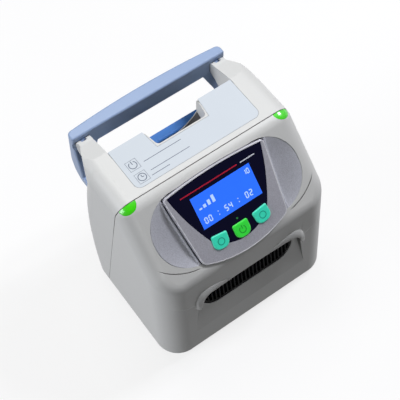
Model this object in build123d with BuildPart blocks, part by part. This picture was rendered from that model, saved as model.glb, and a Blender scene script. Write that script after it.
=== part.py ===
from build123d import *
import os
from math import cos, radians, sin, sqrt, tan

# Compression therapy pump: a two-part housing on a base tray, a sloping display
# face with three push buttons, and a hook frame at the back that is also the
# carrying handle. X is to the right, Y to the back, Z up. The origin lies on the
# floor under the middle of the bounding box. All sizes are in millimetres.

os.makedirs("parts", exist_ok=True)

# ---------------------------------------------------------------- clearances
joint_gap = 0.3          # parting line and drop-in pieces
slide_gap = 0.25         # button in its opening
pin_gap = 0.05           # hinge pin in its bore, radial
press_gap = 0.02         # pin, stem or screw in the piece that holds it
swing_gap = 0.5          # curved socket round the arm's end
cut_margin = 20.0        # how far a cutter reaches past what it cuts
cut_reach = 100.0        # length of a cutter that starts inside the part
cut_start = 1.0          # how far inside its seat a cutter starts
screw_tip_gap = 1.0      # from a screw's tip to the end of its hole
arm_root_depth = 2.0     # arm's root inside the rear wall
panel_rear_gap = 1.0     # top panel's rear edge to the end of the top

# ---------------------------------------------------------------- housing
foot_height = 2.0        # rubber feet below the tray
tray_height = 6.0        # visible height of the base tray
tray_inset = 2.5         # tray set back under the housing
tray_floor = 3.0
housing_top = 200.0
wall = 2.8
base_half_width = 98.0   # at the housing's lower edge
middle_half_width = 96.8
top_half_width = 95.0
middle_height = 105.0
front_foot_y = -89.5     # front wall at its lower edge
rear_foot_y = 52.0       # rear wall at its lower edge
rear_bulge_y = 60.3
rear_bulge_z = 80.0
rear_shoulder_y = 51.5
rear_shoulder_z = 165.0
rear_ridge_z = 178.0     # end of the rear wall's curve, above its shoulder
rear_top_y = 50.5
tab_rear_y = 43.0        # the top ends here, over the finger scoop
tab_lean = 1.0
front_corner = 24.0      # plan radius of the front corners
rear_corner = 18.0
edge_radius = 16.0       # shoulders and the edge of the display face

# parting line between the front cover and the rear shell
seam_y = -12.5
seam_slope = 0.19        # how far it runs back for each millimetre down

# ---------------------------------------------------------------- display face
face_angle = 46.0
face_y = -43.7           # middle of the screen
face_z = 173.2
nose_reach = 55.5        # from the middle of the screen down to the nose
face_wall = 6.0
dish_side = 15.0         # from the housing's side to the dish
dish_height = 75.0
dish_corner = 36.0
dish_drop = 6.5          # middle of the dish below the middle of the screen
dish_depth = 4.0
surround_thickness = 1.4
bezel_groove = 0.6
bezel_thickness = 4.7
bezel_top_half = 55.5
bezel_low_half = 48.0
bezel_top_side = 28.5
bezel_top = 32.0
bezel_corner_drop = -45.0
bezel_bottom = -55.5
bezel_corner = 8.0
bezel_edge = 0.8
window_thickness = 1.2
window_rim = 1.2         # bezel left round the top of the window
window_top_half = 51.5
window_middle_half = 44.0
window_low_half = 31.0
window_low = -30.0
window_bottom = -43.0
screen_width = 65.0
screen_height = 32.0
screen_body_width = 74.0
screen_body_height = 37.0
opening_border = 0.8     # round the screen's body
opening_half = 35.5      # round the three buttons
opening_low = -44.5
board_thickness = 1.6
display_board_width = 104.0
display_board_low = -47.0
display_board_high = 24.0
board_drop = 2.0         # from the back of the face to the board
board_screw_x = 47.0
board_screw_ups = (18.0, -40.0)
board_boss_radius = 3.2
small_screw_radius = 1.4
small_head_radius = 2.6
small_head_height = 1.8
keypad_half = 35.0
keypad_low = -44.0
keypad_high = -26.0
keypad_thickness = 1.0
dome_radius = 4.0
dome_top_radius = 2.4
buzzer_radius = 6.0
buzzer_height = 5.0
buzzer_place = (36.0, 8.0)
display_chip_place = (8.0, 4.0)
ribbon_up = 6.0          # connector of the ribbon cable on the display board

# ---------------------------------------------------------------- push buttons
button_pitch = 23.4
button_width = 16.4
button_height = 14.6
button_side_drop = -33.6
button_middle_drop = -35.0
button_turn = 7.0
button_rise = 1.4        # above the bezel
button_travel = 1.2
button_lip = 1.1
button_lip_thickness = 1.0
button_corner = 6.6
button_edge = 1.2
led_radius = 1.0
led_drop = -23.4

# ---------------------------------------------------------------- shoulder lamps
lamp_length = 17.4
lamp_width = 8.2
lamp_tilt = 20.0         # from straight up, round the shoulder
lamp_depth = 7.0
lamp_gap = 0.12
lamp_led_width = 3.2
lamp_led_height = 3.0

# ---------------------------------------------------------------- top panel
panel_half_width = 68.0
panel_front_y = -6.5
panel_depth = 0.8
panel_corner = 7.0
panel_groove = 0.3
panel_notch_border = 1.5

# ---------------------------------------------------------------- finger notch
notch_front_half = 26.7
notch_rear_half = 30.0
notch_front_y = 22.5
notch_rear_y = 42.5
tab_thickness = 20.0
scoop_half_width = 38.0
scoop_height = 44.0
notch_corner = 4.0

# ---------------------------------------------------------------- lower front
brow_top = 98.0
brow_side = 95.0
brow_half_width = 58.5
brow_foot_half = 66.0
brow_foot = 38.0
brow_depth = 7.0
brow_corner = 12.0
lip_points = ((24.0, 60.0), (24.0, 97.5), (54.0, 110.5), (61.5, 106.0), (65.5, 60.0))
lip_corner = 4.0
lip_rise = 3.4           # how far the lip stands proud of the front wall
lip_slope = 68.0         # degrees from straight out of the wall
lip_foot = 85.0
slot_half_width = 54.0
slot_bottom = 65.0
slot_top = 93.5
slot_corner = 20.0       # lower corners; the upper ones are smaller
grille_rib = 1.4
grille_pitch = 4.4
grille_flange = 3.0
grille_plate = 1.6
grille_recess = 0.6

# ---------------------------------------------------------------- hook frame
pivot_y = 66.5
pivot_z = 183.0
knuckle_radius = 9.5
arm_width = 13.9
arm_tip_inset = 12.8     # from the housing's side to the arm, at its tip, waist and root
arm_waist_inset = 3.5
arm_root_inset = 0.5
arm_root_y = 24.0
arm_foot_z = 157.0
frame_inset = 9.5        # from the housing's side to the frame's
bar_bottom = 174.0
bar_top = 195.0
bar_front_y = 74.5
bar_end_y = 84.6
bar_rear_bow = 4.1
bar_rear_lean = 0.08     # the bar's back leans out by this much for each millimetre down
bar_corner = 5.0
bar_edge = 2.0
leg_width = 8.5
leg_top_y = 90.0
leg_bulge_y = 88.6
leg_bulge_z = 166.0
leg_low_y = 81.5
leg_low_z = 136.0
leg_heel_y = 76.0
leg_heel_z = 131.0
leg_corner = 4.0
leg_front_y = 67.5
leg_knee_y = 70.4
leg_knee_z = 156.0
gusset_width = 25.5      # from the frame's side to the gusset's upper end
gusset_knee_width = 17.2
crossbar_front_y = 59.5  # face of the soft pad
crossbar_rear_y = 69.0
crossbar_bottom = 126.0
crossbar_top = 137.5
crossbar_edge = 2.6
pad_inset = 19.5         # from the frame's side to the end of the pad
pad_thickness = 2.2
hook_swing = 38.0        # degrees, bottom outwards
tongue_width = 5.2
tongue_radius = 7.0
tongue_half_height = 4.5
tongue_grip = 5.5        # length of the tongue inside the bar
hinge_pin_radius = 3.0
hinge_pin_skin = 1.7     # left of the arm at each end of the pin
bumper_inset = 11.5      # from the frame's side to the bumper
bumper_z = 131.5
bumper_radius = 5.0
bumper_stem_radius = 3.0
bumper_seat_y = 54.3
bumper_edge = 1.5
bumper_stem_y = 49.5

# ---------------------------------------------------------------- back panel
rear_boss_y = 52.0       # inner end of the thickened seats
rear_seat_y = 55.6       # flat seats cut into the curved rear wall
seat_border = 3.0
inlet_x = -48.0
inlet_z = 42.0
inlet_width = 31.0
inlet_height = 24.5
inlet_body_width = 27.0
inlet_body_height = 20.0
inlet_depth = 20.0
inlet_flange = 2.0
inlet_socket_width = 22.0
inlet_socket_height = 15.5
inlet_socket_depth = 15.0
inlet_pin_pitch = 7.0
inlet_pin_drop = 4.0
inlet_pin_width = 2.0
inlet_pin_height = 4.0
inlet_pin_length = 10.0
inlet_corner = 3.0
port_xs = (34.0, 62.0)
port_z = 44.0
port_flange_radius = 11.0
port_flange = 2.0
port_collar_radius = 7.0
port_collar = 2.2
port_body_radius = 8.0
port_bore_radius = 4.0
port_bore_depth = 18.0
port_length = 20.0       # behind the seat
nipple_radius = 3.0
nipple_bore = 1.6
nipple_length = 8.0
louvre_count = 9
louvre_pitch = 7.5
louvre_width = 2.6
louvre_height = 26.0
louvre_z = 94.0

# ---------------------------------------------------------------- screws
screw_radius = 2.0
screw_head_radius = 3.8
screw_head_height = 2.6
screw_clearance = 0.25
boss_radius = 6.0
boss_rib = 2.0
shell_screw_inset = 10.5  # from the housing's side, at the top
shell_screw_zs = (26.0, 148.0)
shell_screw_grip = 10.0  # length from the parting line to the head
shell_screw_bite = 16.0  # length held in the front cover
front_boss_length = 22.0
tray_screw_inset = 9.5   # from the housing's side, at its lower edge
tray_screw_ys = (-62.0, 35.0)
tray_boss_height = 10.0
flange_width = 12.0
flange_corner = 14.0

# ---------------------------------------------------------------- base tray
tray_rim = 2.4
tray_rib = 1.6
foot_radius = 8.5
foot_thickness = 3.0
foot_inset = 32.0        # from the housing's side
foot_ys = (-70.0, 32.0)

# ---------------------------------------------------------------- compressor
mount_height = 6.0
mount_radius = 6.0
plate_thickness = 2.0
plate_ends = (-74.0, 24.0)
plate_half_depth = 30.0
mount_inset = 8.0
block_ends = (-72.0, -28.0)
block_half_depth = 26.0
block_height = 46.0
block_edge = 3.0
fin_count = 6
fin_pitch = 7.0
fin_cut = 3.0
head_height = 10.0
motor_length = 46.0
motor_radius = 20.0
motor_rise = 24.0        # axis above the plate
motor_foot = 24.0
cradle_width = 32.0
outlet_x = -38.0
outlet_y = 12.0
filter_x = -58.0
filter_y = -10.0
filter_radius = 8.0
filter_height = 20.0

# ---------------------------------------------------------------- valves and tubes
manifold_ends = (24.0, 74.0)
manifold_front_y = 24.0
manifold_rear_y = 40.0
manifold_bottom = 60.0
manifold_top = 76.0
manifold_screw_inset = 4.5
board_screw_bite = 6.0   # depth of the small pilot holes
outlet_xs = (37.0, 61.0)
valve_radius = 7.5
valve_height = 22.0
valve_cap_radius = 5.0
valve_cap_height = 3.0
tube_radius = 4.0
tube_wall = 0.95
tube_bend = 9.0
tube_grip = 6.0
loop_y = 8.0             # front of the tubes that loop to the outlets
supply_top = 96.0
supply_x = 4.0

# ---------------------------------------------------------------- electronics
main_board_ends = (-84.0, -18.0)
main_board_zs = (66.0, 126.0)
main_board_y = 40.0
main_board_inset = 5.0
chip_size = 16.0
chip_height = 2.0
connector_height = 6.0
power_board_inset = 20.0  # from the housing's side at its lower edge
power_board_width = 40.0
power_board_ys = (-72.0, -6.0)
post_height = 6.0
post_radius = 3.5
transformer_size = 30.0
transformer_height = 25.0
transformer_y = -50.0
winding_bulge = 2.0
capacitor_radius = 8.0
capacitor_height = 24.0
capacitor_y = -21.0
battery_inset = 22.0     # from the other side at the lower edge
battery_length = 54.0
battery_ys = (-76.0, -38.0)
battery_height = 34.0
battery_corner = 5.0
strap_width = 14.0
strap_thickness = 1.2
strap_foot = 5.0
ribbon_width = 20.0
ribbon_x = -40.0
ribbon_bend = 12.0
ribbon_reach = 18.0      # straight run out of each connector
ribbon_thickness = 0.8
ribbon_border = 8.0      # from the board's upper edge to the connector

# ---------------------------------------------------------------- derived sizes
housing_bottom = foot_height + tray_height
shell_screw_x = top_half_width - shell_screw_inset
tray_screw_x = base_half_width - tray_screw_inset
foot_x = base_half_width - foot_inset
bumper_x = top_half_width - frame_inset - bumper_inset
face_up = (0, cos(radians(face_angle)), sin(radians(face_angle)))
face_out = (0, -sin(radians(face_angle)), cos(radians(face_angle)))
face_plane = Plane(origin=(0, face_y, face_z), x_dir=(1, 0, 0), z_dir=face_out)
nose = (face_y - nose_reach * face_up[1], face_z - nose_reach * face_up[2])
top_front_y = face_y + (housing_top - face_z) / tan(radians(face_angle))
seam_plane = Plane(origin=(0, seam_y, housing_top), x_dir=(1, 0, 0), z_dir=(0, 1, seam_slope))
notch_floor = housing_top - tab_thickness
notch_slope = (notch_rear_half - notch_front_half) / (notch_rear_y - notch_front_y)
surround_top = surround_thickness - dish_depth
bezel_face = surround_top + bezel_thickness
window_floor = bezel_face - window_thickness
board_front = -face_wall - board_drop
button_lip_top = surround_top - joint_gap
button_lip_bottom = button_lip_top - button_lip_thickness
dome_tip = button_lip_bottom - button_travel - joint_gap
far = 400.0              # longer than anything that is cut
upright_cosine = 0.9     # an edge nearer to upright than this is a corner of the housing


def circle_through(a, b, c):
    """Centre and radius of the circle through three points of a plane."""
    d = 2 * (a[0] * (b[1] - c[1]) + b[0] * (c[1] - a[1]) + c[0] * (a[1] - b[1]))
    sa = a[0] ** 2 + a[1] ** 2
    sb = b[0] ** 2 + b[1] ** 2
    sc = c[0] ** 2 + c[1] ** 2
    u = (sa * (b[1] - c[1]) + sb * (c[1] - a[1]) + sc * (a[1] - b[1])) / d
    v = (sa * (c[0] - b[0]) + sb * (a[0] - c[0]) + sc * (b[0] - a[0])) / d
    return (u, v), sqrt((a[0] - u) ** 2 + (a[1] - v) ** 2)


rear_foot = (rear_foot_y, housing_bottom)
rear_bulge = (rear_bulge_y, rear_bulge_z)
rear_shoulder = (rear_shoulder_y, rear_shoulder_z)
rear_centre, rear_radius = circle_through(rear_foot, rear_bulge, rear_shoulder)


def rear_wall_y(z):
    """Outer face of the rear wall at a height."""
    return rear_centre[0] + sqrt(rear_radius ** 2 - (z - rear_centre[1]) ** 2)


rear_ridge = (rear_wall_y(rear_ridge_z), rear_ridge_z)


def front_wall_y(z):
    """Outer face of the front wall at a height below the nose."""
    return front_foot_y + front_lean * (z - housing_bottom)


front_lean = (nose[0] - front_foot_y) / (nose[1] - housing_bottom)


def housing_form(inset):
    """Solid with the housing's outer shape, each face moved inwards by inset."""
    with BuildPart() as form:
        with BuildSketch(Plane.YZ):
            with BuildLine():
                Polyline(rear_ridge, (rear_top_y, housing_top), (top_front_y, housing_top),
                         nose, (front_foot_y, housing_bottom), rear_foot)
                ThreePointArc(rear_foot, rear_bulge, rear_ridge)
            make_face()
            if inset > 0:
                offset(amount=-inset, kind=Kind.INTERSECTION)
        extrude(amount=far, both=True)
        with BuildSketch(Plane.XZ):
            with BuildLine():
                Polyline((-top_half_width, housing_top), (top_half_width, housing_top))
                ThreePointArc((top_half_width, housing_top), (middle_half_width, middle_height),
                              (base_half_width, housing_bottom))
                Polyline((base_half_width, housing_bottom), (-base_half_width, housing_bottom))
                ThreePointArc((-base_half_width, housing_bottom), (-middle_half_width, middle_height),
                              (-top_half_width, housing_top))
            make_face()
            if inset > 0:
                offset(amount=-inset, kind=Kind.INTERSECTION)
        extrude(amount=far, both=True, mode=Mode.INTERSECT)
        for is_front, radius in ((True, front_corner), (False, rear_corner)):
            uprights = form.edges().filter_by(
                lambda e: abs(e.center().X) > top_half_width - edge_radius
                and abs(e.tangent_at(0.5).Z) > upright_cosine
                and (e.center().Y < 0) == is_front)
            fillet(uprights, radius - inset)
        crown = form.faces().filter_by(lambda f: f.normal_at().Z > 0.6)
        fillet(crown.edges(), edge_radius - inset)
        # the top ends short of the rear wall, which falls away in a slope below it
        slope_end = (2 * rear_shoulder_y - tab_rear_y - tab_lean, 2 * rear_shoulder_z - notch_floor)
        with BuildSketch(Plane.YZ):
            Polygon((tab_rear_y - tab_lean * cut_margin / tab_thickness, housing_top + cut_margin),
                    (tab_rear_y + tab_lean, notch_floor), slope_end,
                    (rear_bulge_y + cut_margin, slope_end[1]),
                    (rear_bulge_y + cut_margin, housing_top + cut_margin), align=None)
            if inset > 0:
                offset(amount=inset, kind=Kind.INTERSECTION)
        extrude(amount=far, both=True, mode=Mode.SUBTRACT)
    return form.part


def grip_void(grow):
    """Notch in the top and finger scoop in the rear wall, each face moved out by grow."""
    notch_end = rear_bulge_y + cut_margin
    end_half = notch_front_half + notch_slope * (notch_end - notch_front_y)
    scoop_floor = notch_floor - scoop_height
    with BuildPart() as scoop:
        with BuildSketch(Plane.YZ):
            Polygon((notch_front_y - grow, notch_floor + grow),
                    (rear_wall_y(scoop_floor) - grow, scoop_floor - grow),
                    (notch_end, scoop_floor - grow), (notch_end, notch_floor + grow), align=None)
        extrude(amount=far, both=True)
        with BuildSketch(Plane.XZ):
            with Locations((0, notch_floor)):
                Ellipse(scoop_half_width + grow, scoop_height + grow)
        extrude(amount=far, both=True, mode=Mode.INTERSECT)
    with BuildPart() as void:
        with BuildSketch(Plane.XY.offset(notch_floor - grow)) as plan:
            Polygon((-notch_front_half, notch_front_y), (notch_front_half, notch_front_y),
                    (end_half, notch_end), (-end_half, notch_end), align=None)
            front_points = plan.vertices().group_by(Axis.Y)[0]
            fillet(front_points, notch_corner)
            if grow > 0:
                offset(amount=grow)
        extrude(amount=housing_top + cut_margin - notch_floor)
        add(scoop.part)
    return void.part


# back of the brow recess: it meets the front wall at its foot
recess_lean = (front_wall_y(brow_top) + brow_depth - front_wall_y(brow_foot)) / (brow_top - brow_foot)
recess_cos = 1 / sqrt(1 + recess_lean ** 2)
recess_back = -wall * recess_cos


def recess_y(z):
    """Back of the brow recess at a height."""
    return front_wall_y(brow_foot) + recess_lean * (z - brow_foot)


def brow_outline(grow):
    """Outline of the recess under the brow, seen from the front."""
    with BuildSketch(Plane.XY) as arch:
        with BuildLine():
            Polyline((-brow_half_width, brow_side), (-brow_foot_half, brow_foot - grow),
                     (brow_foot_half, brow_foot - grow), (brow_half_width, brow_side))
            ThreePointArc((brow_half_width, brow_side), (0, brow_top), (-brow_half_width, brow_side))
        make_face()
        fillet(arch.vertices().group_by(Axis.Y)[-1], brow_corner)
        if grow > 0:
            offset(amount=grow)
    return arch.sketch


def brow_void(grow):
    """Recess in the front wall under the arched brow, each face moved out by grow."""
    above = brow_top + cut_margin
    with BuildPart() as void:
        with BuildSketch(Plane.YZ):
            Polygon((front_foot_y - cut_margin, above), (recess_y(above) + grow, above),
                    (recess_y(brow_foot - grow) + grow, brow_foot - grow),
                    (front_foot_y - cut_margin, brow_foot - grow), align=None)
        extrude(amount=far, both=True)
        with BuildSketch(Plane.XZ):
            add(brow_outline(grow))
        extrude(amount=far, both=True, mode=Mode.INTERSECT)
    return void.part


outer_form = housing_form(0)
inner_form = housing_form(wall)

with BuildPart() as cavity:
    add(inner_form)
    split(bisect_by=face_plane.offset(-face_wall), keep=Keep.BOTTOM)


def upright(y):
    """Plane facing the front at a distance back; a negative extrusion runs to the back."""
    return Plane.XZ.offset(-y)


def seam_y_at(z):
    """Where the parting line runs at a height."""
    return seam_y + seam_slope * (housing_top - z)


def finish(piece, name):
    """Label a finished piece and write it."""
    piece.label = name
    export_step(piece, f"parts/{name}.step")


# ---------------------------------------------------------------- outlines on the face
def dish_outline():
    """Rounded dish round the display."""
    with BuildSketch(Plane.XY) as outline:
        with Locations((0, -dish_drop)):
            RectangleRounded(2 * (top_half_width - dish_side), dish_height, dish_corner)
    return outline.sketch


def bezel_outline(grow=0.0):
    """Shield shape of the bezel, with an arched top and a deeper curve below."""
    with BuildSketch(Plane.XY) as outline:
        with BuildLine():
            ThreePointArc((-bezel_top_half, bezel_top_side), (0, bezel_top),
                          (bezel_top_half, bezel_top_side))
            Line((bezel_top_half, bezel_top_side), (bezel_low_half, bezel_corner_drop))
            ThreePointArc((bezel_low_half, bezel_corner_drop), (0, bezel_bottom),
                          (-bezel_low_half, bezel_corner_drop))
            Line((-bezel_low_half, bezel_corner_drop), (-bezel_top_half, bezel_top_side))
        make_face()
        fillet(outline.vertices().group_by(Axis.Y)[0], bezel_corner)
        fillet(outline.vertices().group_by(Axis.Y)[-1], bezel_corner / 2)
        if grow > 0:
            offset(amount=grow)
    return outline.sketch


def window_outline():
    """Dark window: wide at the top, its sides drawn in towards the buttons."""
    side_top = bezel_top_side - window_rim
    with BuildSketch(Plane.XY) as outline:
        with BuildLine():
            ThreePointArc((-window_top_half, side_top), (0, bezel_top - window_rim),
                          (window_top_half, side_top))
            ThreePointArc((window_top_half, side_top), (window_middle_half, 0),
                          (window_low_half, window_low))
            ThreePointArc((window_low_half, window_low), (0, window_bottom),
                          (-window_low_half, window_low))
            ThreePointArc((-window_low_half, window_low), (-window_middle_half, 0),
                          (-window_top_half, side_top))
        make_face()
    return outline.sketch


def button_outline(grow=0.0):
    """Push button: flat at the top, round at the bottom."""
    with BuildSketch(Plane.XY) as outline:
        Rectangle(button_width, button_height)
        fillet(outline.vertices().group_by(Axis.Y)[0], button_corner)
        fillet(outline.vertices().group_by(Axis.Y)[-1], button_corner / 4)
        if grow > 0:
            offset(amount=grow)
    return outline.sketch


button_places = {
    "button_left": Location((-button_pitch, button_side_drop, 0), (0, 0, -button_turn)),
    "button_middle": Location((0, button_middle_drop, 0)),
    "button_right": Location((button_pitch, button_side_drop, 0), (0, 0, button_turn)),
}

with BuildSketch(Plane.XY) as opening_outline:
    Rectangle(screen_body_width + 2 * opening_border, screen_body_height + 2 * opening_border)
    with Locations((0, opening_low)):
        Rectangle(2 * opening_half, screen_body_height / 2 - opening_low,
                  align=(Align.CENTER, Align.MIN))


slot_middle = (slot_bottom + slot_top) / 2
slot_height = (slot_top - slot_bottom) / recess_cos
grille_plane = Plane(origin=(0, recess_y(slot_middle), slot_middle), x_dir=(1, 0, 0),
                     z_dir=(0, -1, recess_lean))


def slot_outline(grow):
    """Opening of the grille, its lower corners well rounded."""
    with BuildSketch(Plane.XY) as outline:
        Rectangle(2 * slot_half_width, slot_height)
        fillet(outline.vertices().group_by(Axis.Y)[0], slot_corner)
        fillet(outline.vertices().group_by(Axis.Y)[-1], slot_corner / 4)
        if grow != 0:
            offset(amount=grow)
    return outline.sketch


# ---------------------------------------------------------------- arms
arm_root_x = top_half_width - arm_root_inset
arm_waist_x = top_half_width - arm_waist_inset
arm_tip_x = top_half_width - arm_tip_inset
arm_inner_x = arm_tip_x - arm_width
tongue_inner_x = arm_inner_x + (arm_width - tongue_width) / 2
tongue_outer_x = tongue_inner_x + tongue_width
hinge_pin_start = arm_inner_x + hinge_pin_skin
hinge_pin_end = arm_tip_x - hinge_pin_skin

with BuildPart() as arms:
    # plan of the right arm, its outer side flowing out of the housing's side
    with BuildSketch(Plane.XY.offset(housing_bottom)):
        with BuildLine():
            Polyline((arm_root_x, arm_root_y), (arm_inner_x, arm_root_y),
                     (arm_inner_x, pivot_y + cut_margin), (arm_tip_x, pivot_y + cut_margin),
                     (arm_tip_x, pivot_y))
            ThreePointArc((arm_tip_x, pivot_y), (arm_waist_x, tab_rear_y), (arm_root_x, arm_root_y))
        make_face()
    extrude(amount=far)
    with BuildSketch(Plane.YZ):
        with BuildLine():
            Polyline((pivot_y, pivot_z + knuckle_radius), (tab_rear_y, housing_top),
                     (arm_root_y, housing_top), (arm_root_y, arm_foot_z),
                     (rear_shoulder_y - arm_root_depth, arm_foot_z), (pivot_y, pivot_z - knuckle_radius))
            ThreePointArc((pivot_y, pivot_z - knuckle_radius), (pivot_y + knuckle_radius, pivot_z),
                          (pivot_y, pivot_z + knuckle_radius))
        make_face()
    extrude(amount=far, both=True, mode=Mode.INTERSECT)
    # the housing's rounded shoulder runs on over the arm
    with BuildSketch(Plane.XZ) as shoulder:
        with Locations((0, housing_top / 2)):
            Rectangle(2 * top_half_width, housing_top)
        fillet(shoulder.vertices().group_by(Axis.Y)[-1], edge_radius)
    extrude(amount=far, both=True, mode=Mode.INTERSECT)
    # slot for the hook frame's tongue, open as far as the tongue swings
    swing = (cos(radians(hook_swing)), sin(radians(hook_swing)))
    tongue_clear = tongue_half_height + swing_gap
    slot_high = (pivot_y - tongue_clear * swing[1], pivot_z + tongue_clear * swing[0])
    with BuildSketch(Plane.YZ.offset(tongue_inner_x - joint_gap)):
        with Locations((pivot_y, pivot_z)):
            Circle(tongue_radius + swing_gap)
        Polygon((pivot_y, pivot_z - tongue_clear),
                (pivot_y + cut_margin, pivot_z - tongue_clear),
                (slot_high[0] + cut_margin * swing[0], slot_high[1] + cut_margin * swing[1]),
                slot_high, align=None)
    extrude(amount=tongue_width + 2 * joint_gap, mode=Mode.SUBTRACT)
    # bore of the hinge pin, closed at both ends
    with BuildSketch(Plane.YZ.offset(hinge_pin_start - joint_gap)):
        with Locations((pivot_y, pivot_z)):
            Circle(hinge_pin_radius + press_gap)
    extrude(amount=hinge_pin_end - hinge_pin_start + 2 * joint_gap, mode=Mode.SUBTRACT)
    mirror(about=Plane.YZ)

# ---------------------------------------------------------------- both halves in one
with BuildPart() as shell_bosses:
    for z in shell_screw_zs:
        with BuildSketch(upright(seam_y_at(z) - front_boss_length)):
            with Locations((shell_screw_x, z), (-shell_screw_x, z)):
                Circle(boss_radius)
            with Locations((shell_screw_x, z)):
                Rectangle(far, boss_rib, align=(Align.MIN, Align.CENTER))
            with Locations((-shell_screw_x, z)):
                Rectangle(far, boss_rib, align=(Align.MAX, Align.CENTER))
        extrude(amount=-far)
    for y in tray_screw_ys:
        with BuildSketch(Plane.XY.offset(housing_bottom)):
            with Locations((tray_screw_x, y), (-tray_screw_x, y)):
                Circle(boss_radius)
        extrude(amount=tray_boss_height)
    add(outer_form, mode=Mode.INTERSECT)

with BuildPart() as void_walls:
    add(grip_void(wall))
    add(brow_void(wall))
    add(outer_form, mode=Mode.INTERSECT)

# plane of the front wall, its Y axis running up the wall
front_cos = 1 / sqrt(1 + front_lean ** 2)
front_plane = Plane(origin=(0, front_wall_y(lip_foot), lip_foot), x_dir=(1, 0, 0),
                    z_dir=(0, -1, front_lean))

with BuildPart() as brow_lips:
    # sloping lip that stands proud round the upper corners of the recess
    with BuildSketch(front_plane) as lip_plan:
        Polygon(*[(x, (z - lip_foot) / front_cos) for x, z in lip_points], align=None)
        fillet(lip_plan.vertices().sort_by(Axis.Y)[-2:], lip_corner)
    extrude(amount=lip_rise, taper=lip_slope)
    with BuildSketch(Plane.XY.offset(lip_foot)):
        Rectangle(far, far)
    extrude(amount=far, mode=Mode.INTERSECT)
    mirror(about=Plane.YZ)

with BuildPart() as housing:
    add(outer_form)
    add(brow_lips.part)
    add(arms.part)
    add(cavity.part, mode=Mode.SUBTRACT)
    # the floor is open inside a flange that stands on the tray
    with BuildSketch(Plane.XY.offset(housing_bottom)):
        with Locations((0, (front_foot_y + rear_foot_y) / 2)):
            RectangleRounded(2 * (base_half_width - flange_width),
                             rear_foot_y - front_foot_y - 2 * flange_width, flange_corner)
    extrude(amount=wall, mode=Mode.SUBTRACT)
    add(shell_bosses.part)
    add(void_walls.part)
    add(grip_void(0), mode=Mode.SUBTRACT)
    add(brow_void(0), mode=Mode.SUBTRACT)
    # screw holes from below
    with BuildSketch(Plane.XY.offset(housing_bottom)):
        for y in tray_screw_ys:
            with Locations((tray_screw_x, y), (-tray_screw_x, y)):
                Circle(screw_radius + press_gap)
    extrude(amount=tray_boss_height - screw_tip_gap, mode=Mode.SUBTRACT)


# ---------------------------------------------------------------- shoulder lamps
def lamp_plane(side):
    """Plane that touches the rounded shoulder where the lamp sits."""
    lean = side * sin(radians(lamp_tilt))
    rise = cos(radians(lamp_tilt))
    middle = top_half_width - edge_radius
    return Plane(origin=(side * middle + edge_radius * lean, seam_y,
                         housing_top - edge_radius + edge_radius * rise),
                 x_dir=(rise, 0, -lean), z_dir=(lean, 0, rise))


def lamp_blank(side, grow):
    """Half ellipse with its flat side on the parting line, run through the shoulder."""
    with BuildPart() as blank:
        with BuildSketch(lamp_plane(side).offset(-lamp_depth - grow)):
            Ellipse(lamp_length / 2 + grow, lamp_width + grow)
        extrude(amount=2 * lamp_depth)
        split(bisect_by=seam_plane.offset(-joint_gap), keep=Keep.BOTTOM)
    return blank.part


for side, name in ((-1, "lamp_left"), (1, "lamp_right")):
    with BuildPart() as lamp:
        add(lamp_blank(side, 0))
        add(outer_form, mode=Mode.INTERSECT)
    finish(lamp.part, name)

with BuildPart() as lamp_leds:
    for side in (-1, 1):
        with BuildSketch(lamp_plane(side).offset(-lamp_depth)):
            with Locations((0, -lamp_led_width / 2 - joint_gap)):
                Rectangle(lamp_led_width, lamp_led_width)
        extrude(amount=-lamp_led_height)
finish(lamp_leds.part, "lamp_leds")

# ---------------------------------------------------------------- front cover
with BuildPart() as front_cover:
    add(housing.part)
    split(bisect_by=seam_plane.offset(-joint_gap), keep=Keep.BOTTOM)
    with BuildSketch(face_plane.offset(-dish_depth)):
        add(dish_outline())
    extrude(amount=cut_reach, mode=Mode.SUBTRACT)
    with BuildSketch(face_plane.offset(surround_top)):
        add(bezel_outline(bezel_groove))
    extrude(amount=cut_reach, mode=Mode.SUBTRACT)
    with BuildSketch(face_plane.offset(-2 * face_wall)):
        add(opening_outline.sketch)
    extrude(amount=cut_reach, mode=Mode.SUBTRACT)
    # bosses for the display board
    for up in board_screw_ups:
        with BuildSketch(face_plane.offset(-face_wall)):
            with Locations((board_screw_x, up), (-board_screw_x, up)):
                Circle(board_boss_radius)
        extrude(amount=-board_drop)
        with BuildSketch(face_plane.offset(board_front)):
            with Locations((board_screw_x, up), (-board_screw_x, up)):
                Circle(small_screw_radius + press_gap)
        extrude(amount=board_drop + face_wall / 2, mode=Mode.SUBTRACT)
    # slot for the grille under the brow
    with BuildSketch(grille_plane.offset(-2 * wall)):
        add(slot_outline(0))
    extrude(amount=3 * wall, mode=Mode.SUBTRACT)
    for side in (-1, 1):
        add(lamp_blank(side, lamp_gap), mode=Mode.SUBTRACT)
    # screws reach in from the rear shell
    for z in shell_screw_zs:
        with BuildSketch(upright(seam_y_at(z) - shell_screw_bite - screw_tip_gap)):
            with Locations((shell_screw_x, z), (-shell_screw_x, z)):
                Circle(screw_radius + press_gap)
        extrude(amount=-cut_reach, mode=Mode.SUBTRACT)
finish(front_cover.part, "front_cover")

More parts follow.
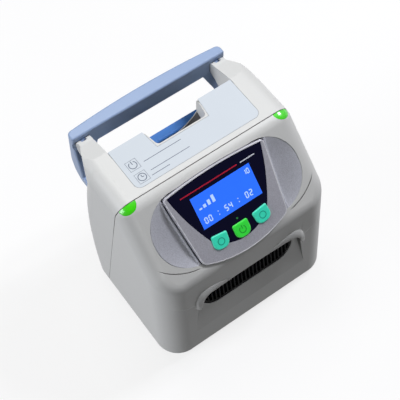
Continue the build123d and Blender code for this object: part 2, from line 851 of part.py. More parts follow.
# ---------------------------------------------------------------- rear shell
def panel_outline(shrink):
    """Top panel: round front corners, cut out round the finger notch."""
    border = panel_notch_border + shrink
    notch_front = notch_front_y - border
    end_half = notch_rear_half + notch_slope * (tab_rear_y - notch_rear_y) + border
    with BuildSketch(Plane.XY) as outline:
        with Locations((0, panel_front_y + shrink)):
            Rectangle(2 * (panel_half_width - shrink),
                      tab_rear_y - panel_rear_gap - panel_front_y - 2 * shrink,
                      align=(Align.CENTER, Align.MIN))
        fillet(outline.vertices().group_by(Axis.Y)[0], panel_corner - shrink)
        Polygon((-notch_front_half - border, notch_front), (notch_front_half + border, notch_front),
                (end_half, tab_rear_y + panel_corner), (-end_half, tab_rear_y + panel_corner), align=None,
                mode=Mode.SUBTRACT)
    return outline.sketch


main_screw_places = [
    (x, z)
    for x in (main_board_ends[0] + main_board_inset, main_board_ends[1] - main_board_inset)
    for z in (main_board_zs[0] + main_board_inset, main_board_zs[1] - main_board_inset)
]
manifold_middle_z = (manifold_bottom + manifold_top) / 2
manifold_screw_places = [
    (manifold_ends[0] + manifold_screw_inset, manifold_middle_z),
    (manifold_ends[1] - manifold_screw_inset, manifold_middle_z),
]

with BuildPart() as rear_seats:
    with BuildSketch(upright(rear_boss_y)):
        with Locations((inlet_x, inlet_z)):
            Rectangle(inlet_width + 4 * seat_border, inlet_height + 4 * seat_border)
        with Locations(*[(x, port_z) for x in port_xs]):
            Circle(port_flange_radius + 2 * seat_border)
        with Locations((bumper_x, bumper_z), (-bumper_x, bumper_z)):
            Circle(bumper_radius + seat_border / 2)
    extrude(amount=-cut_reach)
    with BuildSketch(upright(main_board_y)):
        with Locations(*main_screw_places, *manifold_screw_places):
            Circle(board_boss_radius)
    extrude(amount=-cut_reach)
    add(outer_form, mode=Mode.INTERSECT)

with BuildPart() as rear_shell:
    add(housing.part)
    split(bisect_by=seam_plane, keep=Keep.TOP)
    # thickened seats for the mains inlet and the hose outlets, and bosses inside
    add(rear_seats.part)
    with BuildSketch(upright(rear_seat_y)):
        with Locations((inlet_x, inlet_z)):
            Rectangle(inlet_width + 2 * joint_gap, inlet_height + 2 * joint_gap)
        with Locations(*[(x, port_z) for x in port_xs]):
            Circle(port_flange_radius + joint_gap)
    extrude(amount=-cut_reach, mode=Mode.SUBTRACT)
    with BuildSketch(upright(rear_boss_y - cut_start)):
        with Locations((inlet_x, inlet_z)):
            Rectangle(inlet_body_width + 2 * press_gap, inlet_body_height + 2 * press_gap)
        with Locations(*[(x, port_z) for x in port_xs]):
            Circle(port_body_radius + press_gap)
    extrude(amount=-cut_reach, mode=Mode.SUBTRACT)
    # row of upright louvres over the compressor
    with BuildSketch(upright(rear_boss_y)):
        with Locations((0, louvre_z)):
            with GridLocations(louvre_pitch, 0, louvre_count, 1):
                SlotOverall(louvre_height, louvre_width, rotation=90)
    extrude(amount=-cut_reach, mode=Mode.SUBTRACT)
    # screws that hold the front cover
    for z in shell_screw_zs:
        with BuildSketch(upright(seam_y_at(z) - cut_start)):
            with Locations((shell_screw_x, z), (-shell_screw_x, z)):
                Circle(screw_radius + screw_clearance)
        extrude(amount=-cut_reach, mode=Mode.SUBTRACT)
        with BuildSketch(upright(seam_y_at(z) + shell_screw_grip)):
            with Locations((shell_screw_x, z), (-shell_screw_x, z)):
                Circle(screw_head_radius + screw_clearance)
        extrude(amount=-cut_reach, mode=Mode.SUBTRACT)
    # flat seats and stem holes of the rubber bumpers
    with BuildSketch(upright(bumper_seat_y)):
        with Locations((bumper_x, bumper_z), (-bumper_x, bumper_z)):
            Circle(bumper_radius + joint_gap)
    extrude(amount=-cut_reach, mode=Mode.SUBTRACT)
    with BuildSketch(upright(bumper_stem_y)):
        with Locations((bumper_x, bumper_z), (-bumper_x, bumper_z)):
            Circle(bumper_stem_radius + press_gap)
    extrude(amount=-cut_reach, mode=Mode.SUBTRACT)
    # pilot holes of the main board and the valve block
    with BuildSketch(upright(main_board_y)):
        with Locations(*main_screw_places, *manifold_screw_places):
            Circle(small_screw_radius + press_gap)
    extrude(amount=-board_screw_bite, mode=Mode.SUBTRACT)
    # shallow seat of the top panel
    with BuildSketch(Plane.XY.offset(housing_top - panel_depth)):
        add(panel_outline(0))
    extrude(amount=cut_reach, mode=Mode.SUBTRACT)
finish(rear_shell.part, "rear_shell")

with BuildPart() as top_panel:
    with BuildSketch(Plane.XY.offset(housing_top - panel_depth)):
        add(panel_outline(panel_groove))
    extrude(amount=panel_depth)
finish(top_panel.part, "top_panel")

# ---------------------------------------------------------------- base tray
tray_front = front_foot_y + tray_inset
tray_rear = rear_foot_y - tray_inset
tray_half = base_half_width - tray_inset
tray_floor_bottom = housing_bottom - tray_floor


def tray_outline(inset):
    """Plan of the tray, its corners following the housing's."""
    with BuildSketch(Plane.XY) as outline:
        with Locations((0, (tray_front + tray_rear) / 2)):
            Rectangle(2 * (tray_half - inset), tray_rear - tray_front - 2 * inset)
        fillet(outline.vertices().group_by(Axis.Y)[0], front_corner - tray_inset - inset)
        fillet(outline.vertices().group_by(Axis.Y)[-1], rear_corner - tray_inset - inset)
    return outline.sketch


with BuildPart() as base_tray:
    with BuildSketch(Plane.XY.offset(foot_height)):
        add(tray_outline(0))
    extrude(amount=tray_height)
    # hollow below the floor, leaving ribs and round bosses
    with BuildSketch(Plane.XY.offset(foot_height)):
        add(tray_outline(tray_rim))
        with Locations((0, (tray_front + tray_rear) / 2)):
            with GridLocations(2 * foot_x, 0, 2, 1):
                Rectangle(tray_rib, far, mode=Mode.SUBTRACT)
        for y in foot_ys:
            with Locations((0, y)):
                Rectangle(far, tray_rib, mode=Mode.SUBTRACT)
            with Locations((foot_x, y), (-foot_x, y)):
                Circle(foot_radius + 2 * tray_rib, mode=Mode.SUBTRACT)
        for y in tray_screw_ys:
            with Locations((tray_screw_x, y), (-tray_screw_x, y)):
                Circle(screw_head_radius + 2 * tray_rib, mode=Mode.SUBTRACT)
    extrude(amount=tray_height - tray_floor, mode=Mode.SUBTRACT)
    with BuildSketch(Plane.XY.offset(foot_height)):
        for y in foot_ys:
            with Locations((foot_x, y), (-foot_x, y)):
                Circle(foot_radius + press_gap)
    extrude(amount=foot_thickness - foot_height, mode=Mode.SUBTRACT)
    with BuildSketch(Plane.XY.offset(foot_height)):
        for y in tray_screw_ys:
            with Locations((tray_screw_x, y), (-tray_screw_x, y)):
                Circle(screw_head_radius + screw_clearance)
    extrude(amount=tray_height - tray_floor, mode=Mode.SUBTRACT)
    with BuildSketch(Plane.XY.offset(foot_height)):
        for y in tray_screw_ys:
            with Locations((tray_screw_x, y), (-tray_screw_x, y)):
                Circle(screw_radius + screw_clearance)
    extrude(amount=tray_height, mode=Mode.SUBTRACT)
finish(base_tray.part, "base_tray")

with BuildPart() as feet:
    with BuildSketch(Plane.XY):
        for y in foot_ys:
            with Locations((foot_x, y), (-foot_x, y)):
                Circle(foot_radius)
    extrude(amount=foot_thickness)
    fillet(feet.edges().group_by(Axis.Z)[0], foot_thickness / 4)
finish(feet.part, "feet")


# ---------------------------------------------------------------- screws
def screw(place, length, radius, head_radius, head_height):
    """Pan-head screw; the place's Z axis points from the head into the material."""
    with BuildPart() as one:
        with BuildSketch(place):
            Circle(radius)
        extrude(amount=length)
        with BuildSketch(place):
            Circle(head_radius)
        extrude(amount=-head_height)
        fillet(one.edges().sort_by(Axis(place.origin, place.z_dir))[0], head_height / 3)
        with BuildSketch(place.offset(-head_height)):
            Rectangle(head_radius, head_height / 4)
            Rectangle(head_height / 4, head_radius)
        extrude(amount=head_height / 3, mode=Mode.SUBTRACT)
    return one.part


def screw_group(places, length, small=False):
    """Equal screws at several places, as one group of solids."""
    with BuildPart() as group:
        for place in places:
            if small:
                add(screw(place, length, small_screw_radius, small_head_radius, small_head_height))
            else:
                add(screw(place, length, screw_radius, screw_head_radius, screw_head_height))
    return group.part


shell_screws = screw_group(
    [Plane(origin=(x, seam_y_at(z) + shell_screw_grip, z), x_dir=(1, 0, 0), z_dir=(0, -1, 0))
     for x in (-shell_screw_x, shell_screw_x) for z in shell_screw_zs],
    shell_screw_grip + shell_screw_bite)
finish(shell_screws, "shell_screws")

tray_screws = screw_group(
    [Plane(origin=(x, y, tray_floor_bottom), x_dir=(1, 0, 0), z_dir=(0, 0, 1))
     for x in (-tray_screw_x, tray_screw_x) for y in tray_screw_ys],
    tray_floor + tray_boss_height - 2 * screw_tip_gap)
finish(tray_screws, "tray_screws")

display_screws = screw_group(
    [Plane(origin=face_plane.from_local_coords((x, up, board_front - board_thickness)),
           x_dir=(1, 0, 0), z_dir=face_out)
     for x in (-board_screw_x, board_screw_x) for up in board_screw_ups],
    board_thickness + board_drop + board_thickness, small=True)
finish(display_screws, "display_screws")

main_screws = screw_group(
    [Plane(origin=(x, main_board_y - board_thickness, z), x_dir=(1, 0, 0), z_dir=(0, 1, 0))
     for x, z in main_screw_places],
    board_thickness + board_screw_bite - screw_tip_gap, small=True)
finish(main_screws, "main_screws")

manifold_screws = screw_group(
    [Plane(origin=(x, manifold_front_y, z), x_dir=(1, 0, 0), z_dir=(0, 1, 0))
     for x, z in manifold_screw_places],
    manifold_rear_y - manifold_front_y + board_screw_bite - screw_tip_gap, small=True)
finish(manifold_screws, "manifold_screws")

# ---------------------------------------------------------------- display
with BuildPart() as display_surround:
    with BuildSketch(face_plane.offset(-dish_depth)):
        add(dish_outline())
        offset(amount=-panel_groove)
        add(opening_outline.sketch, mode=Mode.SUBTRACT)
    extrude(amount=surround_thickness)
finish(display_surround.part, "display_surround")

with BuildPart() as display_bezel:
    with BuildSketch(face_plane.offset(surround_top)):
        add(bezel_outline())
    extrude(amount=bezel_thickness)
    rim = display_bezel.edges().group_by(Axis(face_plane.origin, face_out))[-1]
    fillet(rim, bezel_edge)
    with BuildSketch(face_plane.offset(window_floor)):
        add(window_outline())
        offset(amount=press_gap)
    extrude(amount=bezel_thickness, mode=Mode.SUBTRACT)
    with BuildSketch(face_plane.offset(surround_top)):
        Rectangle(screen_width, screen_height)
        for place in button_places.values():
            with Locations(place):
                add(button_outline(slide_gap))
        with Locations((0, led_drop)):
            Circle(led_radius + pin_gap)
    extrude(amount=bezel_thickness, mode=Mode.SUBTRACT)
finish(display_bezel.part, "display_bezel")

with BuildPart() as display_window:
    with BuildSketch(face_plane.offset(window_floor)):
        add(window_outline())
        for place in button_places.values():
            with Locations(place):
                add(button_outline(slide_gap), mode=Mode.SUBTRACT)
        with Locations((0, led_drop)):
            Circle(led_radius + pin_gap, mode=Mode.SUBTRACT)
    extrude(amount=window_thickness)
finish(display_window.part, "display_window")

with BuildPart() as screen:
    with BuildSketch(face_plane.offset(board_front)):
        Rectangle(screen_body_width, screen_body_height)
    extrude(amount=surround_top - joint_gap - board_front)
    with BuildSketch(face_plane.offset(surround_top - joint_gap)):
        Rectangle(screen_width - 2 * joint_gap, screen_height - 2 * joint_gap)
    extrude(amount=window_floor - surround_top + joint_gap)
finish(screen.part, "screen")

board_clear_holes = [(x, up) for x in (-board_screw_x, board_screw_x) for up in board_screw_ups]

with BuildPart() as display_board:
    with BuildSketch(face_plane.offset(board_front)):
        with Locations((0, display_board_low)):
            Rectangle(display_board_width, display_board_high - display_board_low,
                      align=(Align.CENTER, Align.MIN))
        with Locations(*board_clear_holes):
            Circle(small_screw_radius + screw_clearance, mode=Mode.SUBTRACT)
    extrude(amount=-board_thickness)
finish(display_board.part, "display_board")

with BuildPart() as display_parts:
    with BuildSketch(face_plane.offset(board_front - board_thickness)):
        with Locations(display_chip_place):
            Rectangle(chip_size, chip_size)
    extrude(amount=-chip_height)
    with BuildSketch(face_plane.offset(board_front - board_thickness)):
        with Locations((ribbon_x, ribbon_up)):
            Rectangle(ribbon_width + 2 * ribbon_thickness, connector_height)
    extrude(amount=-connector_height)
finish(display_parts.part, "display_parts")

with BuildPart() as buzzer:
    with BuildSketch(face_plane.offset(board_front - board_thickness)):
        with Locations(buzzer_place):
            Circle(buzzer_radius)
    extrude(amount=-buzzer_height)
    with BuildSketch(face_plane.offset(board_front - board_thickness - buzzer_height)):
        with Locations(buzzer_place):
            Circle(buzzer_radius / 6)
    extrude(amount=buzzer_height / 2, mode=Mode.SUBTRACT)
finish(buzzer.part, "buzzer")

with BuildPart() as keypad_mat:
    with BuildSketch(face_plane.offset(board_front)):
        with Locations((0, keypad_low)):
            Rectangle(2 * keypad_half, keypad_high - keypad_low, align=(Align.CENTER, Align.MIN))
    extrude(amount=keypad_thickness)
    for place in button_places.values():
        with BuildSketch(face_plane.offset(board_front + keypad_thickness)):
            with Locations(place):
                Circle(dome_radius)
        with BuildSketch(face_plane.offset(dome_tip)):
            with Locations(place):
                Circle(dome_top_radius)
        loft()
finish(keypad_mat.part, "keypad_mat")

with BuildPart() as status_led:
    with BuildSketch(face_plane.offset(board_front)):
        with Locations((0, led_drop)):
            Circle(led_radius)
    extrude(amount=bezel_face - board_front)
finish(status_led.part, "status_led")

# ---------------------------------------------------------------- push buttons
for name, place in button_places.items():
    with BuildPart() as button:
        with BuildSketch(face_plane.offset(button_lip_top)):
            with Locations(place):
                add(button_outline())
        extrude(amount=bezel_face + button_rise - button_lip_top)
        crown = button.edges().group_by(Axis(face_plane.origin, face_out))[-1]
        fillet(crown, button_edge)
        with BuildSketch(face_plane.offset(button_lip_bottom)):
            with Locations(place):
                add(button_outline(button_lip))
        extrude(amount=button_lip_thickness)
    finish(button.part, name)

# ---------------------------------------------------------------- grille
grille_bars = int(2 * slot_half_width / grille_pitch) - 1
with BuildPart() as grille:
    with BuildSketch(grille_plane.offset(-grille_recess)):
        add(slot_outline(-joint_gap))
    extrude(amount=recess_back + grille_recess)
    with BuildSketch(grille_plane.offset(recess_back)):
        add(slot_outline(grille_flange))
    extrude(amount=-grille_plate)
    with BuildSketch(grille_plane):
        with GridLocations(grille_pitch, 0, grille_bars, 1):
            Rectangle(grille_pitch - grille_rib, slot_height)
        add(slot_outline(-2 * grille_rib), mode=Mode.INTERSECT)
    extrude(amount=-2 * grille_pitch, mode=Mode.SUBTRACT)
finish(grille.part, "grille")

# ---------------------------------------------------------------- hook frame
frame_half_width = top_half_width - frame_inset
pad_half_width = frame_half_width - pad_inset
leg_inner_x = frame_half_width - leg_width
gusset_x = frame_half_width - gusset_width
gusset_knee_x = frame_half_width - gusset_knee_width
frame_middle_z = (bar_top + crossbar_bottom) / 2

with BuildPart() as pad_space:
    with BuildSketch(Plane.YZ):
        Polygon((crossbar_front_y, crossbar_bottom), (crossbar_front_y + pad_thickness, crossbar_bottom),
                (crossbar_front_y + pad_thickness, crossbar_top - pad_thickness),
                (crossbar_rear_y, crossbar_top - pad_thickness), (crossbar_rear_y, crossbar_top),
                (crossbar_front_y, crossbar_top), align=None)
    extrude(amount=pad_half_width, both=True)

with BuildPart() as frame_body:
    # side view: bar at the top, curved legs, crossbar reaching forward below
    with BuildSketch(Plane.YZ) as frame_side:
        with BuildLine():
            Polyline((leg_top_y, bar_top), (bar_front_y, bar_top), (bar_front_y, bar_bottom),
                     (leg_knee_y, leg_knee_z), (leg_front_y, crossbar_top),
                     (crossbar_front_y, crossbar_top), (crossbar_front_y, crossbar_bottom),
                     (crossbar_rear_y, crossbar_bottom), (leg_heel_y, leg_heel_z),
                     (leg_low_y, leg_low_z))
            ThreePointArc((leg_low_y, leg_low_z), (leg_bulge_y, leg_bulge_z), (leg_top_y, bar_top))
        make_face()
        fillet(frame_side.vertices().group_by(Axis.X)[0], crossbar_edge)
        fillet(frame_side.vertices().filter_by(lambda v: v.X > crossbar_rear_y + joint_gap
                                               and v.Y < crossbar_top), leg_corner)
    extrude(amount=frame_half_width, both=True)
    # front view: a ring with gussets under the bar
    with BuildSketch(Plane.XZ) as ring:
        with Locations((0, frame_middle_z)):
            Rectangle(2 * frame_half_width, bar_top - crossbar_bottom)
        fillet(ring.vertices().group_by(Axis.Y)[0], leg_corner)
        Polygon((-gusset_x, bar_bottom), (gusset_x, bar_bottom), (gusset_knee_x, leg_knee_z),
                (leg_inner_x, crossbar_top), (-leg_inner_x, crossbar_top),
                (-gusset_knee_x, leg_knee_z), align=None, mode=Mode.SUBTRACT)
    extrude(amount=far, both=True, mode=Mode.INTERSECT)
    # top view: the bar's back is bowed and leans out downwards
    with BuildSketch(Plane.XY.offset(bar_top)) as bow:
        with BuildLine():
            ThreePointArc((-frame_half_width, bar_end_y), (0, bar_end_y + bar_rear_bow),
                          (frame_half_width, bar_end_y))
            Polyline((frame_half_width, bar_end_y), (frame_half_width, -far), (-frame_half_width, -far),
                     (-frame_half_width, bar_end_y))
        make_face()
        fillet(bow.vertices().group_by(Axis.Y)[-1], bar_corner)
    extrude(amount=bar_top, dir=(0, bar_rear_lean, -1), mode=Mode.INTERSECT)
    # between the legs the crossbar is thinner than they are
    with BuildSketch(Plane.XY.offset(crossbar_bottom)):
        with Locations((0, crossbar_rear_y)):
            Rectangle(2 * leg_inner_x, far, align=(Align.CENTER, Align.MIN))
    extrude(amount=crossbar_top - crossbar_bottom, mode=Mode.SUBTRACT)
    fillet(frame_body.edges().filter_by(
        lambda e: e.center().Z > bar_top - joint_gap
        or (abs(e.center().X) > frame_half_width - joint_gap
            and e.center().Z > crossbar_top + bar_edge)), bar_edge)

with BuildPart() as hook_frame:
    add(frame_body.part)
    # round sockets that clear the arms' ends
    for start in (arm_inner_x - swing_gap, -far):
        with BuildSketch(Plane.YZ.offset(start)):
            with Locations((pivot_y, pivot_z)):
                Circle(knuckle_radius + swing_gap)
        extrude(amount=far - arm_inner_x + swing_gap, mode=Mode.SUBTRACT)
    # tongues that turn in the slots of the arms
    for start in (tongue_inner_x, -tongue_outer_x):
        with BuildSketch(Plane.YZ.offset(start)):
            with Locations((pivot_y, pivot_z)):
                Circle(tongue_radius)
                Rectangle(bar_front_y + tongue_grip - pivot_y, 2 * tongue_half_height,
                          align=(Align.MIN, Align.CENTER))
        extrude(amount=tongue_width)
    with BuildSketch(Plane.YZ):
        with Locations((pivot_y, pivot_z)):
            Circle(hinge_pin_radius + pin_gap)
    extrude(amount=tongue_outer_x + joint_gap, both=True, mode=Mode.SUBTRACT)
    add(pad_space.part, mode=Mode.SUBTRACT)
finish(hook_frame.part, "hook_frame")

with BuildPart() as hook_pad:
    add(pad_space.part)
    add(frame_body.part, mode=Mode.INTERSECT)
finish(hook_pad.part, "hook_pad")

with BuildPart() as hinge_pins:
    with BuildSketch(Plane.YZ.offset(hinge_pin_start)):
        with Locations((pivot_y, pivot_z)):
            Circle(hinge_pin_radius)
    extrude(amount=hinge_pin_end - hinge_pin_start)
    mirror(about=Plane.YZ)
finish(hinge_pins.part, "hinge_pins")

with BuildPart() as bumpers:
    with BuildSketch(upright(bumper_seat_y)):
        with Locations((bumper_x, bumper_z), (-bumper_x, bumper_z)):
            Circle(bumper_radius)
    extrude(amount=bumper_seat_y - crossbar_front_y + joint_gap)
    fillet(bumpers.edges().group_by(Axis.Y)[-1], bumper_edge)
    with BuildSketch(upright(bumper_stem_y)):
        with Locations((bumper_x, bumper_z), (-bumper_x, bumper_z)):
            Circle(bumper_stem_radius)
    extrude(amount=bumper_stem_y - bumper_seat_y)
finish(bumpers.part, "bumpers")

# ---------------------------------------------------------------- back panel
with BuildPart() as mains_inlet:
    with BuildSketch(upright(rear_seat_y)):
        with Locations((inlet_x, inlet_z)):
            RectangleRounded(inlet_width, inlet_height, inlet_corner)
    extrude(amount=-inlet_flange)
    with BuildSketch(upright(rear_seat_y - inlet_depth)):
        with Locations((inlet_x, inlet_z)):
            Rectangle(inlet_body_width, inlet_body_height)
    extrude(amount=-inlet_depth)
    # socket with its two upper corners cut off
    with BuildSketch(upright(rear_seat_y + inlet_flange - inlet_socket_depth)) as socket:
        with Locations((inlet_x, inlet_z)):
            Rectangle(inlet_socket_width, inlet_socket_height)
        chamfer(socket.vertices().group_by(Axis.Y)[-1], inlet_socket_height / 4)
    extrude(amount=-inlet_depth, mode=Mode.SUBTRACT)
    with BuildSketch(upright(rear_seat_y + inlet_flange - inlet_socket_depth)):
        with Locations((inlet_x - inlet_pin_pitch, inlet_z - inlet_pin_drop / 2),
                       (inlet_x + inlet_pin_pitch, inlet_z - inlet_pin_drop / 2),
                       (inlet_x, inlet_z + inlet_pin_drop / 2)):
            Rectangle(inlet_pin_width, inlet_pin_height)
    extrude(amount=-inlet_pin_length)
finish(mains_inlet.part, "mains_inlet")

port_end_y = rear_seat_y + port_flange + port_collar
port_front_y = rear_seat_y - port_length
with BuildPart() as hose_ports:
    for start, length, radius in (
            (rear_seat_y, port_flange, port_flange_radius),
            (rear_seat_y + port_flange, port_collar, port_collar_radius),
            (port_front_y, port_length, port_body_radius),
            (port_front_y - nipple_length, nipple_length, nipple_radius)):
        with BuildSketch(upright(start)):
            with Locations(*[(x, port_z) for x in port_xs]):
                Circle(radius)
        extrude(amount=-length)
    with BuildSketch(upright(port_end_y)):
        with Locations(*[(x, port_z) for x in port_xs]):
            Circle(port_bore_radius)
    extrude(amount=port_bore_depth, mode=Mode.SUBTRACT)
    with BuildSketch(upright(port_end_y)):
        with Locations(*[(x, port_z) for x in port_xs]):
            Circle(nipple_bore)
    extrude(amount=cut_reach, mode=Mode.SUBTRACT)
finish(hose_ports.part, "hose_ports")

# ---------------------------------------------------------------- compressor
plate_bottom = housing_bottom + mount_height
plate_top = plate_bottom + plate_thickness
mount_places = [(x, y)
                for x in (plate_ends[0] + mount_inset, plate_ends[1] - mount_inset)
                for y in (mount_inset - plate_half_depth, plate_half_depth - mount_inset)]

with BuildPart() as compressor_mounts:
    with BuildSketch(Plane.XY.offset(housing_bottom)):
        with Locations(*mount_places):
            Circle(mount_radius)
    extrude(amount=mount_height)
    with BuildSketch(Plane.XY.offset(plate_bottom)):
        with Locations(*mount_places):
            Circle(mount_radius / 2)
    extrude(amount=plate_thickness)
finish(compressor_mounts.part, "compressor_mounts")

with BuildPart() as compressor_plate:
    with BuildSketch(Plane.XY.offset(plate_bottom)):
        with Locations(((plate_ends[0] + plate_ends[1]) / 2, 0)):
            RectangleRounded(plate_ends[1] - plate_ends[0], 2 * plate_half_depth, mount_radius)
        with Locations(*mount_places):
            Circle(mount_radius / 2 + press_gap, mode=Mode.SUBTRACT)
    extrude(amount=plate_thickness)
finish(compressor_plate.part, "compressor_plate")

block_top = plate_top + block_height
block_middle = (block_ends[0] + block_ends[1]) / 2
with BuildPart() as compressor_block:
    with BuildSketch(Plane.XY.offset(plate_top)):
        with Locations((block_middle, 0)):
            RectangleRounded(block_ends[1] - block_ends[0], 2 * block_half_depth, block_edge)
    extrude(amount=block_height)
    # cooling grooves down both sides
    with BuildSketch(Plane.XY.offset(plate_top + fin_cut)):
        for side in (-1, 1):
            with Locations((block_middle, side * block_half_depth)):
                with GridLocations(fin_pitch, 0, fin_count - 1, 1):
                    Rectangle(fin_cut, 2 * fin_cut)
    extrude(amount=block_height, mode=Mode.SUBTRACT)
finish(compressor_block.part, "compressor_block")

with BuildPart() as compressor_head:
    with BuildSketch(Plane.XY.offset(block_top)):
        with Locations((block_middle, 0)):
            RectangleRounded(block_ends[1] - block_ends[0] - 2 * block_edge,
                             2 * (block_half_depth - block_edge), block_edge)
    extrude(amount=head_height)
    with BuildSketch(Plane.XY.offset(block_top + head_height)):
        with Locations((outlet_x, outlet_y)):
            Circle(nipple_radius)
    extrude(amount=nipple_length)
    with BuildSketch(Plane.XY.offset(block_top + head_height - nipple_length / 2)):
        with Locations((outlet_x, outlet_y)):
            Circle(nipple_bore)
    extrude(amount=2 * nipple_length, mode=Mode.SUBTRACT)
finish(compressor_head.part, "compressor_head")

with BuildPart() as intake_filter:
    with BuildSketch(Plane.XY.offset(block_top + head_height)):
        with Locations((filter_x, filter_y)):
            Circle(filter_radius)
    extrude(amount=filter_height)
    fillet(intake_filter.edges().group_by(Axis.Z)[-1], filter_radius / 4)
finish(intake_filter.part, "intake_filter")

motor_z = plate_top + motor_rise
with BuildPart() as motor:
    with BuildSketch(Plane.YZ.offset(block_ends[1])):
        with Locations((0, motor_z)):
            Circle(motor_radius)
    extrude(amount=motor_length)
    fillet(motor.edges().group_by(Axis.X)[-1], block_edge)
    with BuildSketch(Plane.YZ.offset(block_ends[1] + motor_length)):
        with Locations((0, motor_z)):
            Circle(motor_radius / 3)
    extrude(amount=block_edge)
finish(motor.part, "motor")

with BuildPart() as motor_cradle:
    with BuildSketch(Plane.YZ.offset(block_ends[1] + motor_length / 4)):
        with Locations((0, plate_top)):
            Rectangle(cradle_width, motor_rise - motor_radius / 3,
                      align=(Align.CENTER, Align.MIN))
        with Locations((0, motor_z)):
            Circle(motor_radius + press_gap, mode=Mode.SUBTRACT)
    extrude(amount=motor_foot)
finish(motor_cradle.part, "motor_cradle")

# ---------------------------------------------------------------- valves and tubes
manifold_middle_y = (manifold_front_y + manifold_rear_y) / 2
with BuildPart() as valve_manifold:
    with BuildSketch(Plane.XY.offset(manifold_bottom)):
        with Locations(((manifold_ends[0] + manifold_ends[1]) / 2, manifold_middle_y)):
            Rectangle(manifold_ends[1] - manifold_ends[0], manifold_rear_y - manifold_front_y)
    extrude(amount=manifold_top - manifold_bottom)
    # outlets towards the front and the supply from the side
    with BuildSketch(upright(manifold_front_y)):
        with Locations(*[(x, manifold_middle_z) for x in outlet_xs]):
            Circle(nipple_radius)
    extrude(amount=nipple_length)
    with BuildSketch(Plane.YZ.offset(manifold_ends[0])):
        with Locations((manifold_middle_y, manifold_middle_z)):
            Circle(nipple_radius)
    extrude(amount=-nipple_length)
    with BuildSketch(upright(manifold_front_y - nipple_length)):
        with Locations(*[(x, manifold_middle_z) for x in outlet_xs]):
            Circle(nipple_bore)
    extrude(amount=-2 * nipple_length, mode=Mode.SUBTRACT)
    with BuildSketch(Plane.YZ.offset(manifold_ends[0] - nipple_length)):
        with Locations((manifold_middle_y, manifold_middle_z)):
            Circle(nipple_bore)
    extrude(amount=2 * nipple_length, mode=Mode.SUBTRACT)
    with BuildSketch(upright(manifold_front_y)):
        with Locations(*manifold_screw_places):
            Circle(small_screw_radius + screw_clearance)
    extrude(amount=-cut_reach, mode=Mode.SUBTRACT)
finish(valve_manifold.part, "valve_manifold")

with BuildPart() as valves:
    with BuildSketch(Plane.XY.offset(manifold_top)):
        with Locations(*[(x, manifold_middle_y) for x in outlet_xs]):
            Circle(valve_radius)
    extrude(amount=valve_height)
    with BuildSketch(Plane.XY.offset(manifold_top + valve_height)):
        with Locations(*[(x, manifold_middle_y) for x in outlet_xs]):
            Circle(valve_cap_radius)
    extrude(amount=valve_cap_height)
finish(valves.part, "valves")


def tube(points):
    """Flexible tube along a bent line, pushed over a nipple at each end."""
    with BuildPart() as one:
        with BuildLine() as line:
            FilletPolyline(*points, radius=tube_bend)
        start = Plane(origin=line.line @ 0, z_dir=line.line % 0)
        with BuildSketch(start):
            Circle(tube_radius)
            Circle(tube_radius - tube_wall, mode=Mode.SUBTRACT)
        sweep()
    return one.part


supply_start_z = block_top + head_height + nipple_length - tube_grip
supply_end_x = manifold_ends[0] - nipple_length + tube_grip
supply_tube = tube([
    (outlet_x, outlet_y, supply_start_z), (outlet_x, outlet_y, supply_top),
    (supply_x, outlet_y, supply_top), (supply_x, manifold_middle_y, supply_top),
    (supply_x, manifold_middle_y, manifold_middle_z),
    (supply_end_x, manifold_middle_y, manifold_middle_z)])
finish(supply_tube, "supply_tube")

with BuildPart() as outlet_tubes:
    for port_x, outlet in zip(port_xs, outlet_xs):
        add(tube([
            (port_x, port_front_y - nipple_length + tube_grip, port_z), (port_x, loop_y, port_z),
            (outlet, loop_y, manifold_middle_z),
            (outlet, manifold_front_y - nipple_length + tube_grip, manifold_middle_z)]))
finish(outlet_tubes.part, "outlet_tubes")

# ---------------------------------------------------------------- electronics
with BuildPart() as main_board:
    with BuildSketch(upright(main_board_y - board_thickness)):
        with Locations(((main_board_ends[0] + main_board_ends[1]) / 2,
                        (main_board_zs[0] + main_board_zs[1]) / 2)):
            Rectangle(main_board_ends[1] - main_board_ends[0], main_board_zs[1] - main_board_zs[0])
        with Locations(*main_screw_places):
            Circle(small_screw_radius + screw_clearance, mode=Mode.SUBTRACT)
    extrude(amount=-board_thickness)
finish(main_board.part, "main_board")

main_front = main_board_y - board_thickness
main_middle_x = (main_board_ends[0] + main_board_ends[1]) / 2
main_middle_z = (main_board_zs[0] + main_board_zs[1]) / 2
ribbon_top = main_board_zs[1] - ribbon_border
with BuildPart() as main_parts:
    with BuildSketch(upright(main_front)):
        with Locations((main_middle_x, main_middle_z - chip_size / 2)):
            Rectangle(chip_size, chip_size)
            with Locations((-1.5 * chip_size, 0)):
                Rectangle(chip_size / 2, chip_size)
    extrude(amount=chip_height)
    with BuildSketch(upright(main_front)):
        with Locations((ribbon_x, ribbon_top)):
            Rectangle(ribbon_width + 2 * ribbon_thickness, connector_height)
    extrude(amount=connector_height)
finish(main_parts.part, "main_parts")

ribbon_start = face_plane.from_local_coords(
    (ribbon_x, ribbon_up, board_front - board_thickness - connector_height))
ribbon_end_y = main_front - connector_height
with BuildPart() as ribbon_cable:
    with BuildLine(Plane.YZ.offset(ribbon_x)) as ribbon_line:
        FilletPolyline(
            (ribbon_start.Y, ribbon_start.Z),
            (ribbon_start.Y - ribbon_reach * face_out[1], ribbon_start.Z - ribbon_reach * face_out[2]),
            (ribbon_end_y - ribbon_reach, ribbon_top), (ribbon_end_y, ribbon_top),
            radius=ribbon_bend)
    with BuildSketch(Plane(origin=ribbon_line.line @ 0, x_dir=(1, 0, 0), z_dir=ribbon_line.line % 0)):
        Rectangle(ribbon_width, ribbon_thickness)
    sweep()
finish(ribbon_cable.part, "ribbon_cable")

